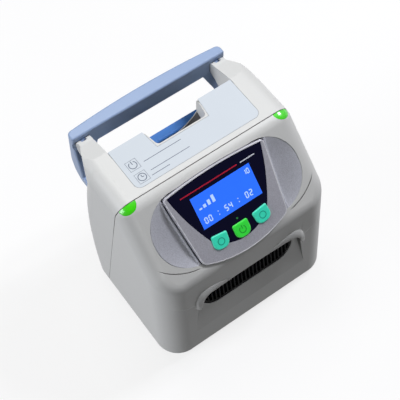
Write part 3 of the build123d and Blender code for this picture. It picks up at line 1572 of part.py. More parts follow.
power_board_z = housing_bottom + post_height
power_board_xs = (base_half_width - power_board_inset - power_board_width,
                  base_half_width - power_board_inset)
power_middle_x = (power_board_xs[0] + power_board_xs[1]) / 2
post_places = [(x, y)
               for x in (power_board_xs[0] + main_board_inset, power_board_xs[1] - main_board_inset)
               for y in (power_board_ys[0] + main_board_inset, power_board_ys[1] - main_board_inset)]

with BuildPart() as power_posts:
    with BuildSketch(Plane.XY.offset(housing_bottom)):
        with Locations(*post_places):
            Circle(post_radius)
    extrude(amount=post_height)
    with BuildSketch(Plane.XY.offset(power_board_z)):
        with Locations(*post_places):
            Circle(small_screw_radius)
    extrude(amount=2 * board_thickness)
finish(power_posts.part, "power_posts")

with BuildPart() as power_board:
    with BuildSketch(Plane.XY.offset(power_board_z)):
        with Locations((power_middle_x, (power_board_ys[0] + power_board_ys[1]) / 2)):
            Rectangle(power_board_xs[1] - power_board_xs[0], power_board_ys[1] - power_board_ys[0])
        with Locations(*post_places):
            Circle(small_screw_radius + press_gap, mode=Mode.SUBTRACT)
    extrude(amount=board_thickness)
finish(power_board.part, "power_board")

with BuildPart() as transformer:
    with BuildSketch(Plane.XY.offset(power_board_z + board_thickness)):
        with Locations((power_middle_x, transformer_y)):
            Rectangle(transformer_size, transformer_size)
    extrude(amount=transformer_height)
    with BuildSketch(Plane.XY.offset(power_board_z + board_thickness + transformer_height / 4)):
        with Locations((power_middle_x, transformer_y)):
            Rectangle(transformer_size + 2 * winding_bulge, transformer_size - 4 * winding_bulge)
    extrude(amount=transformer_height / 2)
finish(transformer.part, "transformer")

with BuildPart() as capacitors:
    with BuildSketch(Plane.XY.offset(power_board_z + board_thickness)):
        with Locations((power_middle_x - 1.1 * capacitor_radius, capacitor_y),
                       (power_middle_x + 1.1 * capacitor_radius, capacitor_y)):
            Circle(capacitor_radius)
    extrude(amount=capacitor_height)
    fillet(capacitors.edges().group_by(Axis.Z)[-1], capacitor_radius / 8)
finish(capacitors.part, "capacitors")

battery_middle = (battery_inset + battery_length / 2 - base_half_width,
                  (battery_ys[0] + battery_ys[1]) / 2)
with BuildPart() as battery:
    with BuildSketch(Plane.XY.offset(housing_bottom)):
        with Locations(battery_middle):
            Rectangle(battery_length, battery_ys[1] - battery_ys[0])
    extrude(amount=battery_height)
    fillet(battery.edges().filter_by(Axis.Y), battery_corner)
finish(battery.part, "battery")

with BuildPart() as battery_strap:
    # band over the pack, with a foot on the tray at each side
    with BuildSketch(upright(battery_middle[1] - strap_width / 2)):
        with Locations((battery_middle[0], housing_bottom)):
            Rectangle(battery_length + 2 * strap_thickness, battery_height + strap_thickness,
                      align=(Align.CENTER, Align.MIN))
            Rectangle(battery_length + 2 * strap_foot, strap_thickness,
                      align=(Align.CENTER, Align.MIN))
    extrude(amount=-strap_width)
    add(battery.part, mode=Mode.SUBTRACT)
finish(battery_strap.part, "battery_strap")
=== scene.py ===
"""Compression therapy pump: finishes, printed marks, lit display and studio stage."""

import math

import bpy
import numpy as np
from mathutils import Matrix, Vector
from mathutils.geometry import convex_hull_2d


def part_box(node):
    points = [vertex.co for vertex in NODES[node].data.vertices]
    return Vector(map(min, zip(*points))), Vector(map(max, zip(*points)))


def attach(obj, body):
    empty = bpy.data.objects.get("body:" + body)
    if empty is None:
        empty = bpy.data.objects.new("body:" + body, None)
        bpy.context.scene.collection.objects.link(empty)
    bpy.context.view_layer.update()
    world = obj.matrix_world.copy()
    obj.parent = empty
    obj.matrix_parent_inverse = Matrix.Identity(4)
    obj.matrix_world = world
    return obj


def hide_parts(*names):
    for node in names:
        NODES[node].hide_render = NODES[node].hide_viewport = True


bl_info = {
    "name": "Compression Therapy Pump",
    "version": (1, 0, 0),
    "blender": (4, 5, 0),
    "location": "View3D > Sidebar > Pump",
    "description": "Dresses the packed pump and sets its studio stage",
    "category": "Object",
}

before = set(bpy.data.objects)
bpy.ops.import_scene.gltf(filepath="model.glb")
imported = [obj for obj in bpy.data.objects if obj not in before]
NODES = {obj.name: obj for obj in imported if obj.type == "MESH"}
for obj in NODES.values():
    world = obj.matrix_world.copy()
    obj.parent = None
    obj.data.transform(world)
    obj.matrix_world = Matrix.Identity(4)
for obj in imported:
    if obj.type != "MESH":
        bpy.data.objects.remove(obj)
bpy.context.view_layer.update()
MM = 0.001

# The display face: its middle, the way up its slope and the way out of it. Heights on the face
# are measured along the way out.
FACE_ANGLE = math.radians(46.0)
FACE_MIDDLE = Vector((0.0, -0.0437, 0.1732))
FACE_UP = Vector((0.0, math.cos(FACE_ANGLE), math.sin(FACE_ANGLE)))
FACE_OUT = Vector((0.0, -math.sin(FACE_ANGLE), math.cos(FACE_ANGLE)))


# -------------------- colours and nodes
def srgb(code):
    """Linear colour of an sRGB hex code such as '#C8CCCA'."""
    steps = [int(code[i:i + 2], 16) / 255 for i in (1, 3, 5)]
    return tuple(s / 12.92 if s <= 0.04045 else ((s + 0.055) / 1.055) ** 2.4 for s in steps)


def rgba(colour):
    """Colour with full opacity, as shader sockets take it."""
    return (colour[0], colour[1], colour[2], 1.0)


def per_mm(size):
    """Texture scale at which one feature is about this many millimetres, in metres of Object space."""
    return 1.0 / (size * MM)


def add(tree, kind, inputs=None, **settings):
    """Adds a shader node; settings are its properties, inputs are values or sockets to link."""
    node = tree.nodes.new("ShaderNode" + kind)
    for name, value in settings.items():
        setattr(node, name, value)
    for name, value in (inputs or {}).items():
        if isinstance(value, bpy.types.NodeSocket):
            tree.links.new(value, node.inputs[name])
        else:
            node.inputs[name].default_value = value
    return node


def new_material(name):
    """Material with an empty tree, that tree, and the socket with places on the object in metres."""
    material = bpy.data.materials.new(name)
    material.use_nodes = True
    tree = material.node_tree
    tree.nodes.clear()
    return material, tree, add(tree, "TexCoord").outputs["Object"]


def shades(tree, where, colour, spread, size):
    """Colour that drifts a little lighter and darker over patches of a size in millimetres."""
    drift = add(tree, "TexNoise", {"Vector": where, "Scale": per_mm(size), "Detail": 2.0})
    dark = tuple(c * (1 - spread) for c in colour)
    light = tuple(min(1.0, c * (1 + spread)) for c in colour)
    return add(tree, "Mix", {"Factor": drift.outputs["Fac"], 6: rgba(dark), 7: rgba(light)},
               data_type="RGBA").outputs[2]


def skin(tree, where, size, detail, strength, depth=0.2):
    """Uneven surface: noise with features of a size in millimetres, and the normal that it gives.

    The depth of its bumps is in millimetres too.
    """
    noise = add(tree, "TexNoise", {"Vector": where, "Scale": per_mm(size), "Detail": detail})
    relief = add(tree, "Bump", {"Height": noise.outputs["Fac"], "Strength": strength,
                                "Distance": depth * MM})
    return noise.outputs["Fac"], relief.outputs["Normal"]


# -------------------- lines moulded into the shells, and the painted shade in them and in the finger scoop
# All in millimetres, in the places that shell_places works out: side is the distance from the
# middle plane, y and z are the object's own, and up and out are measured on the display face.
SEAM_LINE = ((200.0, -12.5), (0.0, 25.5))           # parting line: y over z
RECESS_LINE = ((88.0, 59.4), (38.0, 66.0))          # edge of the recess under the brow: side over z
SHELF_LINE = ((62.0, 90.5), (94.0, 104.5))          # shelf beside the brow: z over side
CREASE_ARC = ((88.0, -26.0), (75.0, -37.5), (50.0, -46.5))  # beside the dish: side and up
REAR_ARC = ((52.0, 8.0), (60.3, 80.0), (51.5, 165.0))       # curve of the rear wall: y and z
LINE_HALF_WIDTH = 0.6
LINE_CORE = 0.45         # share of the half width that is fully dark
SHELF_HALF_WIDTH = 1.2
SCOOP_DEPTHS = (-0.6, -1.2)  # inside the rear wall's curve: where the shade starts and is full

# Where each one shows: it eases in along the named place from the first value to the second.
SEAM_EASE = (125.0, 165.0)  # along z
# The parting line's darkness is painted shade of its gap.
SEAM_FAINT = 0.25        # what is left of the parting line low down, where its gap is narrow
CREASE_LIMITS = (("side", 50.0, 56.0), ("side", 88.5, 82.0), ("out", -8.0, -6.0), ("up", -10.0, -20.0))
RECESS_LIMITS = (("z", 45.0, 80.0), ("z", 88.5, 86.5), ("y", -78.0, -80.0))
SHELF_LIMITS = (("side", 60.0, 63.0), ("side", 95.0, 78.0), ("y", -62.0, -70.0),
                ("over", 30.0, 4.0), ("over", -30.0, -4.0))
SCOOP_LIMITS = (("side", 40.0, 39.0), ("y", 18.0, 20.0), ("z", 180.1, 179.7), ("z", 132.0, 134.0))

# How dark the painted shade of each one is: at one it has the colour of a deep gap in shade.
SEAM_SHADE = 1.0
CREASE_SHADE = 0.8
RECESS_SHADE = 0.85
SCOOP_SHADE = 0.94
# Colour of the painted shade that the masks below darken the shells towards.
PAINTED_SHADE_COLOUR = "#2A2522"


def circle_through(a, b, c):
    """Centre and radius of the circle through three points of a plane."""
    (ax, ay), (bx, by), (cx, cy) = a, b, c
    d = 2 * (ax * (by - cy) + bx * (cy - ay) + cx * (ay - by))
    sa, sb, sc = ax * ax + ay * ay, bx * bx + by * by, cx * cx + cy * cy
    u = (sa * (by - cy) + sb * (cy - ay) + sc * (ay - by)) / d
    v = (sa * (cx - bx) + sb * (ax - cx) + sc * (bx - ax)) / d
    return (u, v), math.hypot(ax - u, ay - v)


def shell_places(tree, where):
    """Sockets with the place on the shells in millimetres: side, y, z, and up and out on the face."""
    point = add(tree, "VectorMath", {0: where, "Scale": 1 / MM}, operation="SCALE").outputs[0]
    axes = add(tree, "SeparateXYZ", {"Vector": point}).outputs
    side = add(tree, "Math", {0: axes["X"]}, operation="ABSOLUTE").outputs[0]
    places = {"side": side, "y": axes["Y"], "z": axes["Z"]}
    for name, way in (("up", FACE_UP), ("out", FACE_OUT)):
        along = add(tree, "VectorMath", {0: point, 1: tuple(way)}, operation="DOT_PRODUCT")
        places[name] = add(tree, "Math", {0: along.outputs["Value"], 1: FACE_MIDDLE.dot(way) / MM},
                           operation="SUBTRACT").outputs[0]
    return places


def fade(tree, value, start, end, low=0.0, high=1.0):
    """Value eased from low at the start to high at the end, which may lie below the start."""
    if end < start:
        start, end, low, high = end, start, high, low
    return add(tree, "MapRange", {"Value": value, "From Min": start, "From Max": end,
                                  "To Min": low, "To Max": high},
               interpolation_type="SMOOTHSTEP").outputs["Result"]


def past_line(tree, along, value, line):
    """How far a value lies past the straight line through two points (along, value)."""
    (start, start_value), (end, end_value) = line
    slope = (end_value - start_value) / (end - start)
    level = add(tree, "Math", {0: along, 1: slope, 2: start_value - slope * start},
                operation="MULTIPLY_ADD").outputs[0]
    return add(tree, "Math", {0: value, 1: level}, operation="SUBTRACT").outputs[0]


def past_arc(tree, first, second, arc):
    """How far a place lies outside the circle through three points (first, second)."""
    (centre_first, centre_second), radius = circle_through(*arc)
    place = add(tree, "CombineXYZ", {"X": first, "Y": second}).outputs[0]
    reach = add(tree, "VectorMath", {0: place, 1: (centre_first, centre_second, 0.0)},
                operation="DISTANCE").outputs["Value"]
    return add(tree, "Math", {0: reach, 1: radius}, operation="SUBTRACT").outputs[0]


def on_line(tree, distance):
    """One on a moulded line and nothing beyond its half width, from the distance to its middle."""
    apart = add(tree, "Math", {0: distance}, operation="ABSOLUTE").outputs[0]
    return fade(tree, apart, LINE_HALF_WIDTH, LINE_CORE * LINE_HALF_WIDTH)


def limited(tree, mask, places, limits):
    """A mask times one ease for each limit, given as (place, first value, second value)."""
    for name, start, end in limits:
        ease = fade(tree, places[name], start, end)
        mask = add(tree, "Math", {0: mask, 1: ease}, operation="MULTIPLY").outputs[0]
    return mask


def seam_mask(tree, places):
    """Painted shade of the parting line's gap: full over the top, and faint low on the sides."""
    line = on_line(tree, past_line(tree, places["z"], places["y"], SEAM_LINE))
    ease = fade(tree, places["z"], *SEAM_EASE, SEAM_FAINT, 1.0)
    return add(tree, "Math", {0: line, 1: ease}, operation="MULTIPLY").outputs[0]


def crease_mask(tree, places):
    """Crease beside the dish, an arc on the display face: it gets painted shade and a bump."""
    line = on_line(tree, past_arc(tree, places["side"], places["up"], CREASE_ARC))
    return limited(tree, line, places, CREASE_LIMITS)


def recess_mask(tree, places):
    """Painted shade along the edge of the recess under the brow, down from the fold's foot."""
    line = on_line(tree, past_line(tree, places["z"], places["side"], RECESS_LINE))
    return limited(tree, line, places, RECESS_LIMITS)


def shelf_mask(tree, places):
    """Shelf beside the brow: a step up across a line that rises to the side."""
    over = past_line(tree, places["side"], places["z"], SHELF_LINE)
    step = fade(tree, over, -SHELF_HALF_WIDTH, SHELF_HALF_WIDTH)
    return limited(tree, step, {**places, "over": over}, SHELF_LIMITS)


def scoop_mask(tree, places):
    """Painted shade inside the finger scoop: what lies under the rear wall's curve behind the notch."""
    depth = past_arc(tree, places["y"], places["z"], REAR_ARC)
    return limited(tree, fade(tree, depth, *SCOOP_DEPTHS), places, SCOOP_LIMITS)


# -------------------- materials
def lined_shell(name, colour):
    """Satin ABS of the shells, with painted shade in its moulded lines and in the finger scoop.

    The real grain is about 0.1 mm; it is drawn near 1 mm so that it shows at all.
    """
    material, tree, where = new_material(name)
    places = shell_places(tree, where)
    crease = crease_mask(tree, places)
    # Painted shade: each mask darkens the shell towards the shade colour, the darkest one winning.
    dark = 0.0
    for mask, shade in ((seam_mask(tree, places), SEAM_SHADE), (crease, CREASE_SHADE),
                        (recess_mask(tree, places), RECESS_SHADE),
                        (scoop_mask(tree, places), SCOOP_SHADE)):
        depth = add(tree, "Math", {0: mask, 1: shade}, operation="MULTIPLY").outputs[0]
        dark = add(tree, "Math", {0: dark, 1: depth}, operation="MAXIMUM").outputs[0]
    paint = add(tree, "Mix", {"Factor": dark, 6: shades(tree, where, colour, spread=0.03, size=60.0),
                              7: rgba(srgb(PAINTED_SHADE_COLOUR))}, data_type="RGBA")
    grain, relief = skin(tree, where, size=0.9, detail=3.0, strength=0.05)
    height = add(tree, "Math", {0: shelf_mask(tree, places), 1: crease}, operation="SUBTRACT")
    step = add(tree, "Bump", {"Height": height.outputs[0], "Strength": 0.8, "Distance": 0.8 * MM,
                              "Normal": relief})
    rough = add(tree, "MapRange", {"Value": grain, "To Min": 0.34, "To Max": 0.46})
    body = add(tree, "BsdfPrincipled", {
        "Base Color": paint.outputs[2], "Roughness": rough.outputs["Result"],
        "Normal": step.outputs["Normal"], "IOR": 1.52})
    add(tree, "OutputMaterial", {"Surface": body.outputs[0]})
    return material


def moulded_abs(name, colour, roughness=0.42, grain_strength=0.05, shine=0.5):
    """ABS or nylon from a spark-eroded mould: satin, with a fine even grain that softens highlights.

    Screen-printed ink gets the same satin. The real grain is about 0.1 mm; it is drawn near 1 mm
    so that it shows at all.
    """
    material, tree, where = new_material(name)
    grain, relief = skin(tree, where, size=0.9, detail=3.0, strength=grain_strength)
    rough = add(tree, "MapRange", {"Value": grain, "To Min": roughness - 0.05,
                                   "To Max": roughness + 0.07})
    body = add(tree, "BsdfPrincipled", {
        "Base Color": shades(tree, where, colour, spread=0.03, size=60.0),
        "Roughness": rough.outputs["Result"], "Normal": relief, "IOR": 1.52,
        "Specular IOR Level": shine})
    add(tree, "OutputMaterial", {"Surface": body.outputs[0]})
    return material


def silver_lacquer(name, colour, roughness, flake_share):
    """Moulded ABS sprayed with silver lacquer: fine metal flake under a soft sheen.

    The real flake is about 0.03 mm; it is drawn at 0.7 mm so that it sparkles at all.
    """
    material, tree, where = new_material(name)
    flake = add(tree, "TexVoronoi", {"Vector": where, "Scale": per_mm(0.7)})
    tint = add(tree, "MapRange", {"Value": flake.outputs["Color"], "To Min": 0.86, "To Max": 1.12})
    paint = add(tree, "Mix", {"Factor": 1.0, 6: rgba(colour), 7: tint.outputs["Result"]},
                data_type="RGBA", blend_type="MULTIPLY")
    orange_peel = skin(tree, where, size=3.0, detail=2.0, strength=0.04)[1]
    body = add(tree, "BsdfPrincipled", {
        "Base Color": paint.outputs[2], "Metallic": flake_share, "Roughness": roughness,
        "Normal": orange_peel, "Coat Weight": 0.25, "Coat Roughness": 0.2})
    add(tree, "OutputMaterial", {"Surface": body.outputs[0]})
    return material


def printed_film(name, colour):
    """Polycarbonate film printed on its back, or a shrink wrap: smooth satin with an even sheen."""
    material, tree, where = new_material(name)
    matt = add(tree, "TexNoise", {"Vector": where, "Scale": per_mm(1.6), "Detail": 2.0})
    rough = add(tree, "MapRange", {"Value": matt.outputs["Fac"], "To Min": 0.44, "To Max": 0.54})
    body = add(tree, "BsdfPrincipled", {
        "Base Color": shades(tree, where, colour, spread=0.02, size=45.0),
        "Roughness": rough.outputs["Result"], "IOR": 1.58})
    add(tree, "OutputMaterial", {"Surface": body.outputs[0]})
    return material


def tinted_acrylic(name, colour):
    """Acrylic sheet printed black from behind: deep, hard gloss with almost no texture."""
    material, tree, where = new_material(name)
    haze = add(tree, "TexNoise", {"Vector": where, "Scale": per_mm(12.0), "Detail": 2.0})
    rough = add(tree, "MapRange", {"Value": haze.outputs["Fac"], "To Min": 0.05, "To Max": 0.12})
    body = add(tree, "BsdfPrincipled", {
        "Base Color": shades(tree, where, colour, spread=0.08, size=20.0),
        "Roughness": rough.outputs["Result"], "IOR": 1.49, "Coat Weight": 0.5,
        "Coat Roughness": 0.05})
    add(tree, "OutputMaterial", {"Surface": body.outputs[0]})
    return material


def lit_glass(name, colour, strength):
    """Backlit liquid crystal under glass: glows evenly, a little brighter in patches."""
    material, tree, where = new_material(name)
    glow = shades(tree, where, colour, spread=0.12, size=40.0)
    body = add(tree, "BsdfPrincipled", {
        "Base Color": glow, "Roughness": 0.14, "IOR": 1.5,
        "Emission Color": glow, "Emission Strength": strength})
    add(tree, "OutputMaterial", {"Surface": body.outputs[0]})
    return material


def clear_moulding(name, colour, glow, roughness=0.22):
    """Clear silicone or polycarbonate with a glow of its own colour, and a paler colour towards its
    edges as a painted sheen.
    """
    material, tree, where = new_material(name)
    # Painted sheen: paler colour where the surface turns away from view.
    edge = add(tree, "LayerWeight", {"Blend": 0.35})
    pale = tuple(min(1.0, c * 0.6 + 0.25) for c in colour)
    tint = add(tree, "Mix", {"Factor": edge.outputs["Facing"], 6: rgba(colour), 7: rgba(pale)},
               data_type="RGBA")
    frost = skin(tree, where, size=1.5, detail=3.0, strength=0.06)[1]
    body = add(tree, "BsdfPrincipled", {
        "Base Color": tint.outputs[2], "Roughness": roughness, "IOR": 1.58,
        "Normal": frost, "Subsurface Weight": 0.35,
        "Subsurface Radius": (4 * MM, 6 * MM, 3 * MM), "Subsurface Scale": 1.0,
        "Emission Color": rgba(colour), "Emission Strength": glow})
    add(tree, "OutputMaterial", {"Surface": body.outputs[0]})
    return material


def moulded_rubber(name, colour, roughness=0.75):
    """Moulded rubber, silicone or soft vinyl: matt, with a soft bloom on the surface."""
    material, tree, where = new_material(name)
    bloom, relief = skin(tree, where, size=2.0, detail=4.0, strength=0.12)
    rough = add(tree, "MapRange", {"Value": bloom, "To Min": roughness - 0.08,
                                   "To Max": roughness + 0.1})
    body = add(tree, "BsdfPrincipled", {
        "Base Color": shades(tree, where, colour, spread=0.08, size=15.0),
        "Roughness": rough.outputs["Result"], "Normal": relief, "Sheen Weight": 0.15})
    add(tree, "OutputMaterial", {"Surface": body.outputs[0]})
    return material


def plated_steel(name, colour):
    """Zinc plated steel: bright grey metal that shines unevenly from crystal to crystal.

    The real crystals are too fine to see; they are drawn at 2.5 mm so that they show.
    """
    material, tree, where = new_material(name)
    crystal = add(tree, "TexVoronoi", {"Vector": where, "Scale": per_mm(2.5)})
    rough = add(tree, "MapRange", {"Value": crystal.outputs["Distance"], "To Min": 0.24, "To Max": 0.44})
    body = add(tree, "BsdfPrincipled", {
        "Base Color": shades(tree, where, colour, spread=0.06, size=8.0), "Metallic": 1.0,
        "Roughness": rough.outputs["Result"]})
    add(tree, "OutputMaterial", {"Surface": body.outputs[0]})
    return material


def cast_aluminium(name, colour):
    """Sand-cast aluminium: dull metal with a coarse skin."""
    material, tree, where = new_material(name)
    sand = skin(tree, where, size=1.2, detail=6.0, strength=0.3, depth=0.3)[1]
    body = add(tree, "BsdfPrincipled", {
        "Base Color": shades(tree, where, colour, spread=0.1, size=10.0), "Metallic": 0.9,
        "Roughness": 0.5, "Normal": sand})
    add(tree, "OutputMaterial", {"Surface": body.outputs[0]})
    return material


def solder_mask(name, colour):
    """Glass-fibre board under green solder mask: glossy, with the weave just showing.

    The real weave has a thread about every 0.5 mm; it is drawn at 1 mm so that it shows.
    """
    material, tree, where = new_material(name)
    weave = add(tree, "TexChecker", {"Vector": where, "Scale": per_mm(1.0),
                                     "Color1": rgba(colour),
                                     "Color2": rgba(tuple(c * 1.25 for c in colour))})
    body = add(tree, "BsdfPrincipled", {
        "Base Color": weave.outputs["Color"], "Roughness": 0.25, "IOR": 1.55})
    add(tree, "OutputMaterial", {"Surface": body.outputs[0]})
    return material


def pressed_felt(name, colour):
    """Pressed felt: matt fibres with no shine, drawn coarser than the real 0.03 mm ones."""
    material, tree, where = new_material(name)
    fibres = skin(tree, where, size=0.8, detail=8.0, strength=0.5, depth=0.4)[1]
    body = add(tree, "BsdfPrincipled", {
        "Base Color": shades(tree, where, colour, spread=0.1, size=4.0), "Roughness": 0.95,
        "Normal": fibres, "Sheen Weight": 0.3})
    add(tree, "OutputMaterial", {"Surface": body.outputs[0]})
    return material


def dress(names, material):
    """Gives carried-over nodes a finish in place of their plain one."""
    for name in names:
        mesh = NODES[name].data
        mesh.materials.clear()
        mesh.materials.append(material)


# -------------------- meshes
# A shape is a pair: its vertices in metres, and a list of arrays of faces, each array with
# faces of one number of corners.
ARC_STEPS = 39           # straight steps in an arc or a ring


def face_place(points, height):
    """Places of points (x, up the slope) in millimetres on the display face.

    Each is the face's middle, plus x across, plus the second value up the slope, plus the
    height, one for all or one for each, out of the face.
    """
    x, up = np.asarray(points, float).T[:, :, None]
    out = np.reshape(height, (-1, 1))
    return np.array(FACE_MIDDLE) + MM * (x * np.array((1.0, 0.0, 0.0)) + up * np.array(FACE_UP)
                                         + out * np.array(FACE_OUT))


def top_place(points, height):
    """Places of points (x, y) in millimetres on the level top, at a height above the floor."""
    points = np.asarray(points, float)
    return MM * np.column_stack([points, np.full(len(points), height)])


def bar_outline(x, y, width, height):
    """Corners of an upright rectangle about its middle: half of each size either way."""
    w, h = width / 2, height / 2
    return [(x - w, y - h), (x + w, y - h), (x + w, y + h), (x - w, y + h)]


def plate_parts(outline, place, low, high):
    """Closed thin plate: an outline placed at two heights, joined round its edge."""
    count = len(outline)
    around = np.arange(count)
    after = (around + 1) % count
    sides = np.column_stack([around, after, after + count, around + count])
    return (np.vstack([place(outline, low), place(outline, high)]),
            [around[None, ::-1], around[None, :] + count, sides])


def bar_parts(x, y, width, height, place, low, high):
    """Thin bar about its middle: its rectangle as a plate."""
    return plate_parts(bar_outline(x, y, width, height), place, low, high)


def slab_parts(front, back, flip):
    """Closed solid between two grids of places: each grid a face, joined by a wall round the rim.

    The grids are arrays of rows by columns by three. The wall follows the first row, the last
    column, the last row backwards and the first column backwards. Flip turns every face over.
    """
    rows, columns = front.shape[:2]
    index = np.arange(rows * columns).reshape(rows, columns)
    upper = np.stack([index[:-1, :-1], index[:-1, 1:], index[1:, 1:], index[1:, :-1]], axis=-1)
    upper = upper.reshape(-1, 4)
    lower = upper[:, ::-1] + rows * columns
    rim = np.concatenate([index[0, :], index[1:, -1], index[-1, -2::-1], index[-2:0:-1, 0]])
    after = np.roll(rim, -1)
    wall = np.column_stack([rim, rim + rows * columns, after + rows * columns, after])
    faces = np.vstack([upper, lower, wall])
    return np.vstack([front.reshape(-1, 3), back.reshape(-1, 3)]), [faces[:, ::-1] if flip else faces]


def ribbon_parts(inner, outer, place, low, high, closed):
    """Closed thin band between two lines of as many points: the rectangle of inner and outer at
    the low and the high height, carried along them, round to its start or with a face at each end.
    """
    count = len(inner)
    vertices = np.vstack([place(inner, low), place(outer, low), place(outer, high), place(inner, high)])
    i = np.arange(count if closed else count - 1)
    j = (i + 1) % count
    corners = np.arange(4) * count
    faces = [np.column_stack([i + a, i + b, j + b, j + a])
             for a, b in zip(corners, np.roll(corners, -1))]
    if not closed:
        faces += [corners[None, ::-1], corners[None, :] + count - 1]
    return vertices, faces


def ring_parts(x, y, radius, width, place, low, high, start=0.0, end=360.0):
    """Thin ring or arc: centre plus radius times (cos, sin) of the turn, carried as a ribbon.

    The turn goes anticlockwise between two angles in degrees, and a whole turn is closed.
    """
    whole = end - start == 360.0
    turn = np.radians(np.linspace(start, end, ARC_STEPS + 1))[:ARC_STEPS if whole else None]
    way = np.column_stack([np.cos(turn), np.sin(turn)])
    inner, outer = (np.array((x, y)) + reach * way for reach in (radius, radius + width))
    return ribbon_parts(inner, outer, place, low, high, whole)


def build_piece(name, shapes, material, body="housing", smooth=False):
    """One object from several shapes, riding on a body."""
    faces = []
    start = 0
    for vertices, groups in shapes:
        for group in groups:
            faces += (group + start).tolist()
        start += len(vertices)
    mesh = bpy.data.meshes.new(name)
    mesh.from_pydata(np.vstack([shape[0] for shape in shapes]), [], faces, shade_flat=not smooth)
    mesh.validate()
    mesh.update()
    piece = bpy.data.objects.new(name, mesh)
    bpy.context.scene.collection.objects.link(piece)
    mesh.materials.append(material)
    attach(piece, body)
    return piece


# -------------------- what a user would change
class PumpFinish(bpy.types.PropertyGroup):
    """Colours of the pump."""
    shell: bpy.props.FloatVectorProperty(
        name="Shell", description="Moulded shells", subtype="COLOR", size=3, default=srgb("#D2D3D0"))
    tray: bpy.props.FloatVectorProperty(
        name="Tray", description="Base tray", subtype="COLOR", size=3, default=srgb("#A6A8AA"))
    film: bpy.props.FloatVectorProperty(
        name="Film", description="Film on the top", subtype="COLOR", size=3, default=srgb("#C6CED4"))
    hook: bpy.props.FloatVectorProperty(
        name="Hook frame", description="Swinging hook frame", subtype="COLOR", size=3,
        default=srgb("#93A8C9"))
    pad: bpy.props.FloatVectorProperty(
        name="Pad", description="Soft pad on the hook frame", subtype="COLOR", size=3,
        default=srgb("#4A8BDD"))
    silver: bpy.props.FloatVectorProperty(
        name="Silver", description="Lacquer of the bezel", subtype="COLOR", size=3,
        default=srgb("#C9C9D2"))
    dish: bpy.props.FloatVectorProperty(
        name="Dish", description="Lacquer of the dish beside the bezel", subtype="COLOR", size=3,
        default=srgb("#CBCDD6"))
    window: bpy.props.FloatVectorProperty(
        name="Window", description="Printed window", subtype="COLOR", size=3, default=srgb("#0B0B28"))
    screen: bpy.props.FloatVectorProperty(
        name="Screen", description="Backlight", subtype="COLOR", size=3, default=srgb("#2A68F0"))
    side_button: bpy.props.FloatVectorProperty(
        name="Side buttons", description="Left and right button", subtype="COLOR", size=3,
        default=srgb("#2CCFAE"))
    middle_button: bpy.props.FloatVectorProperty(
        name="Middle button", description="Middle button", subtype="COLOR", size=3,
        default=srgb("#26D433"))
    lens: bpy.props.FloatVectorProperty(
        name="Lens", description="Shoulder lamps", subtype="COLOR", size=3, default=srgb("#41D312"))


class PumpSizes(bpy.types.PropertyGroup):
    """Sizes of what is printed and lit."""
    digit_height: bpy.props.FloatProperty(
        name="Digit height", description="Figures of the timer", default=6.4 * MM, unit="LENGTH")
    rule_width: bpy.props.FloatProperty(
        name="Rule width", description="Printed lines on the top", default=0.55 * MM, unit="LENGTH")
    print_depth: bpy.props.FloatProperty(
        name="Print depth", description="Thickness of printed ink", default=0.05 * MM, unit="LENGTH")


# -------------------- housing
# Front wall: its foot and how far back it leans with height, as a share of it. A fold turns over
# each upper corner of the brow; its two lines are cubic curves in (x, z) from its blunt foot to
# its tip.
WALL_FOOT_Y = -89.5
WALL_FOOT_Z = 8.0
WALL_LEAN = 0.0578
FOLD_OUTER = ((64.5, 86.0), (63.5, 112.0), (52.0, 115.0), (20.0, 99.0))
FOLD_CREST = ((59.5, 86.0), (58.0, 103.0), (50.0, 109.0), (20.0, 98.0))
FOLD_RISE = 4.2
FOLD_ROOT = 0.8          # how far the fold goes into the wall
FOLD_GRID = (49, 13)     # points along it and across it


def cubic_curve(points, t):
    """Places at the values t of the cubic curve with four control points a, b, c and d:
    (1 - t)^3 a + 3 t (1 - t)^2 b + 3 t^2 (1 - t) c + t^3 d.
    """
    a, b, c, d = (np.array(point, float)[None, :] for point in points)
    t = t[:, None]
    return (1 - t) ** 3 * a + 3 * t * (1 - t) ** 2 * b + 3 * t ** 2 * (1 - t) * c + t ** 3 * d


def fold_parts(side):
    """Fold beside the brow: over (t, v), t along it and v from its foot to its crest.

    The place is a straight blend from the outer line to the crest line, standing off the
    front wall by 4.2 (1 - t^2) sqrt(1 - (1 - v)^2), so it rises steeply and rounds over.
    """
    rows, columns = FOLD_GRID
    t = np.linspace(0.0, 1.0, rows)
    v = 1 - np.cos(np.linspace(0.0, math.pi / 2, columns))
    outer = cubic_curve(FOLD_OUTER, t)[:, None, :]
    crest = cubic_curve(FOLD_CREST, t)[:, None, :]
    flat = outer + v[None, :, None] * (crest - outer)
    x, z = side * flat[..., 0], flat[..., 1]
    rise = FOLD_RISE * (1 - t[:, None] ** 2) * np.sqrt(1 - (1 - v[None, :]) ** 2)
    wall = WALL_FOOT_Y + WALL_LEAN * (z - WALL_FOOT_Z)
    return slab_parts(MM * np.stack([x, wall - rise, z], axis=-1),
                      MM * np.stack([x, wall + FOLD_ROOT, z], axis=-1), side < 0)


class PUMP_OT_housing(bpy.types.Operator):
    """Finishes the shells, the tray, the feet and the film on the top"""
    bl_idname = "pump.housing"
    bl_label = "Housing"

    def execute(self, context):
        colours = context.scene.pump_finish
        shell = lined_shell("shell_abs", colours.shell)
        dress(["front_cover", "rear_shell"], shell)
        build_piece("brow_folds", [fold_parts(-1), fold_parts(1)], shell, smooth=True)
        dress(["base_tray"], moulded_abs("tray_abs", colours.tray, roughness=0.5))
        dress(["top_panel"], printed_film("top_film", colours.film))
        dress(["feet", "bumpers"], moulded_rubber("foot_rubber", srgb("#3A3A3C")))
        dress(["grille"], moulded_abs("grille_abs", srgb("#08090C"), roughness=0.7, shine=0.12))
        return {"FINISHED"}


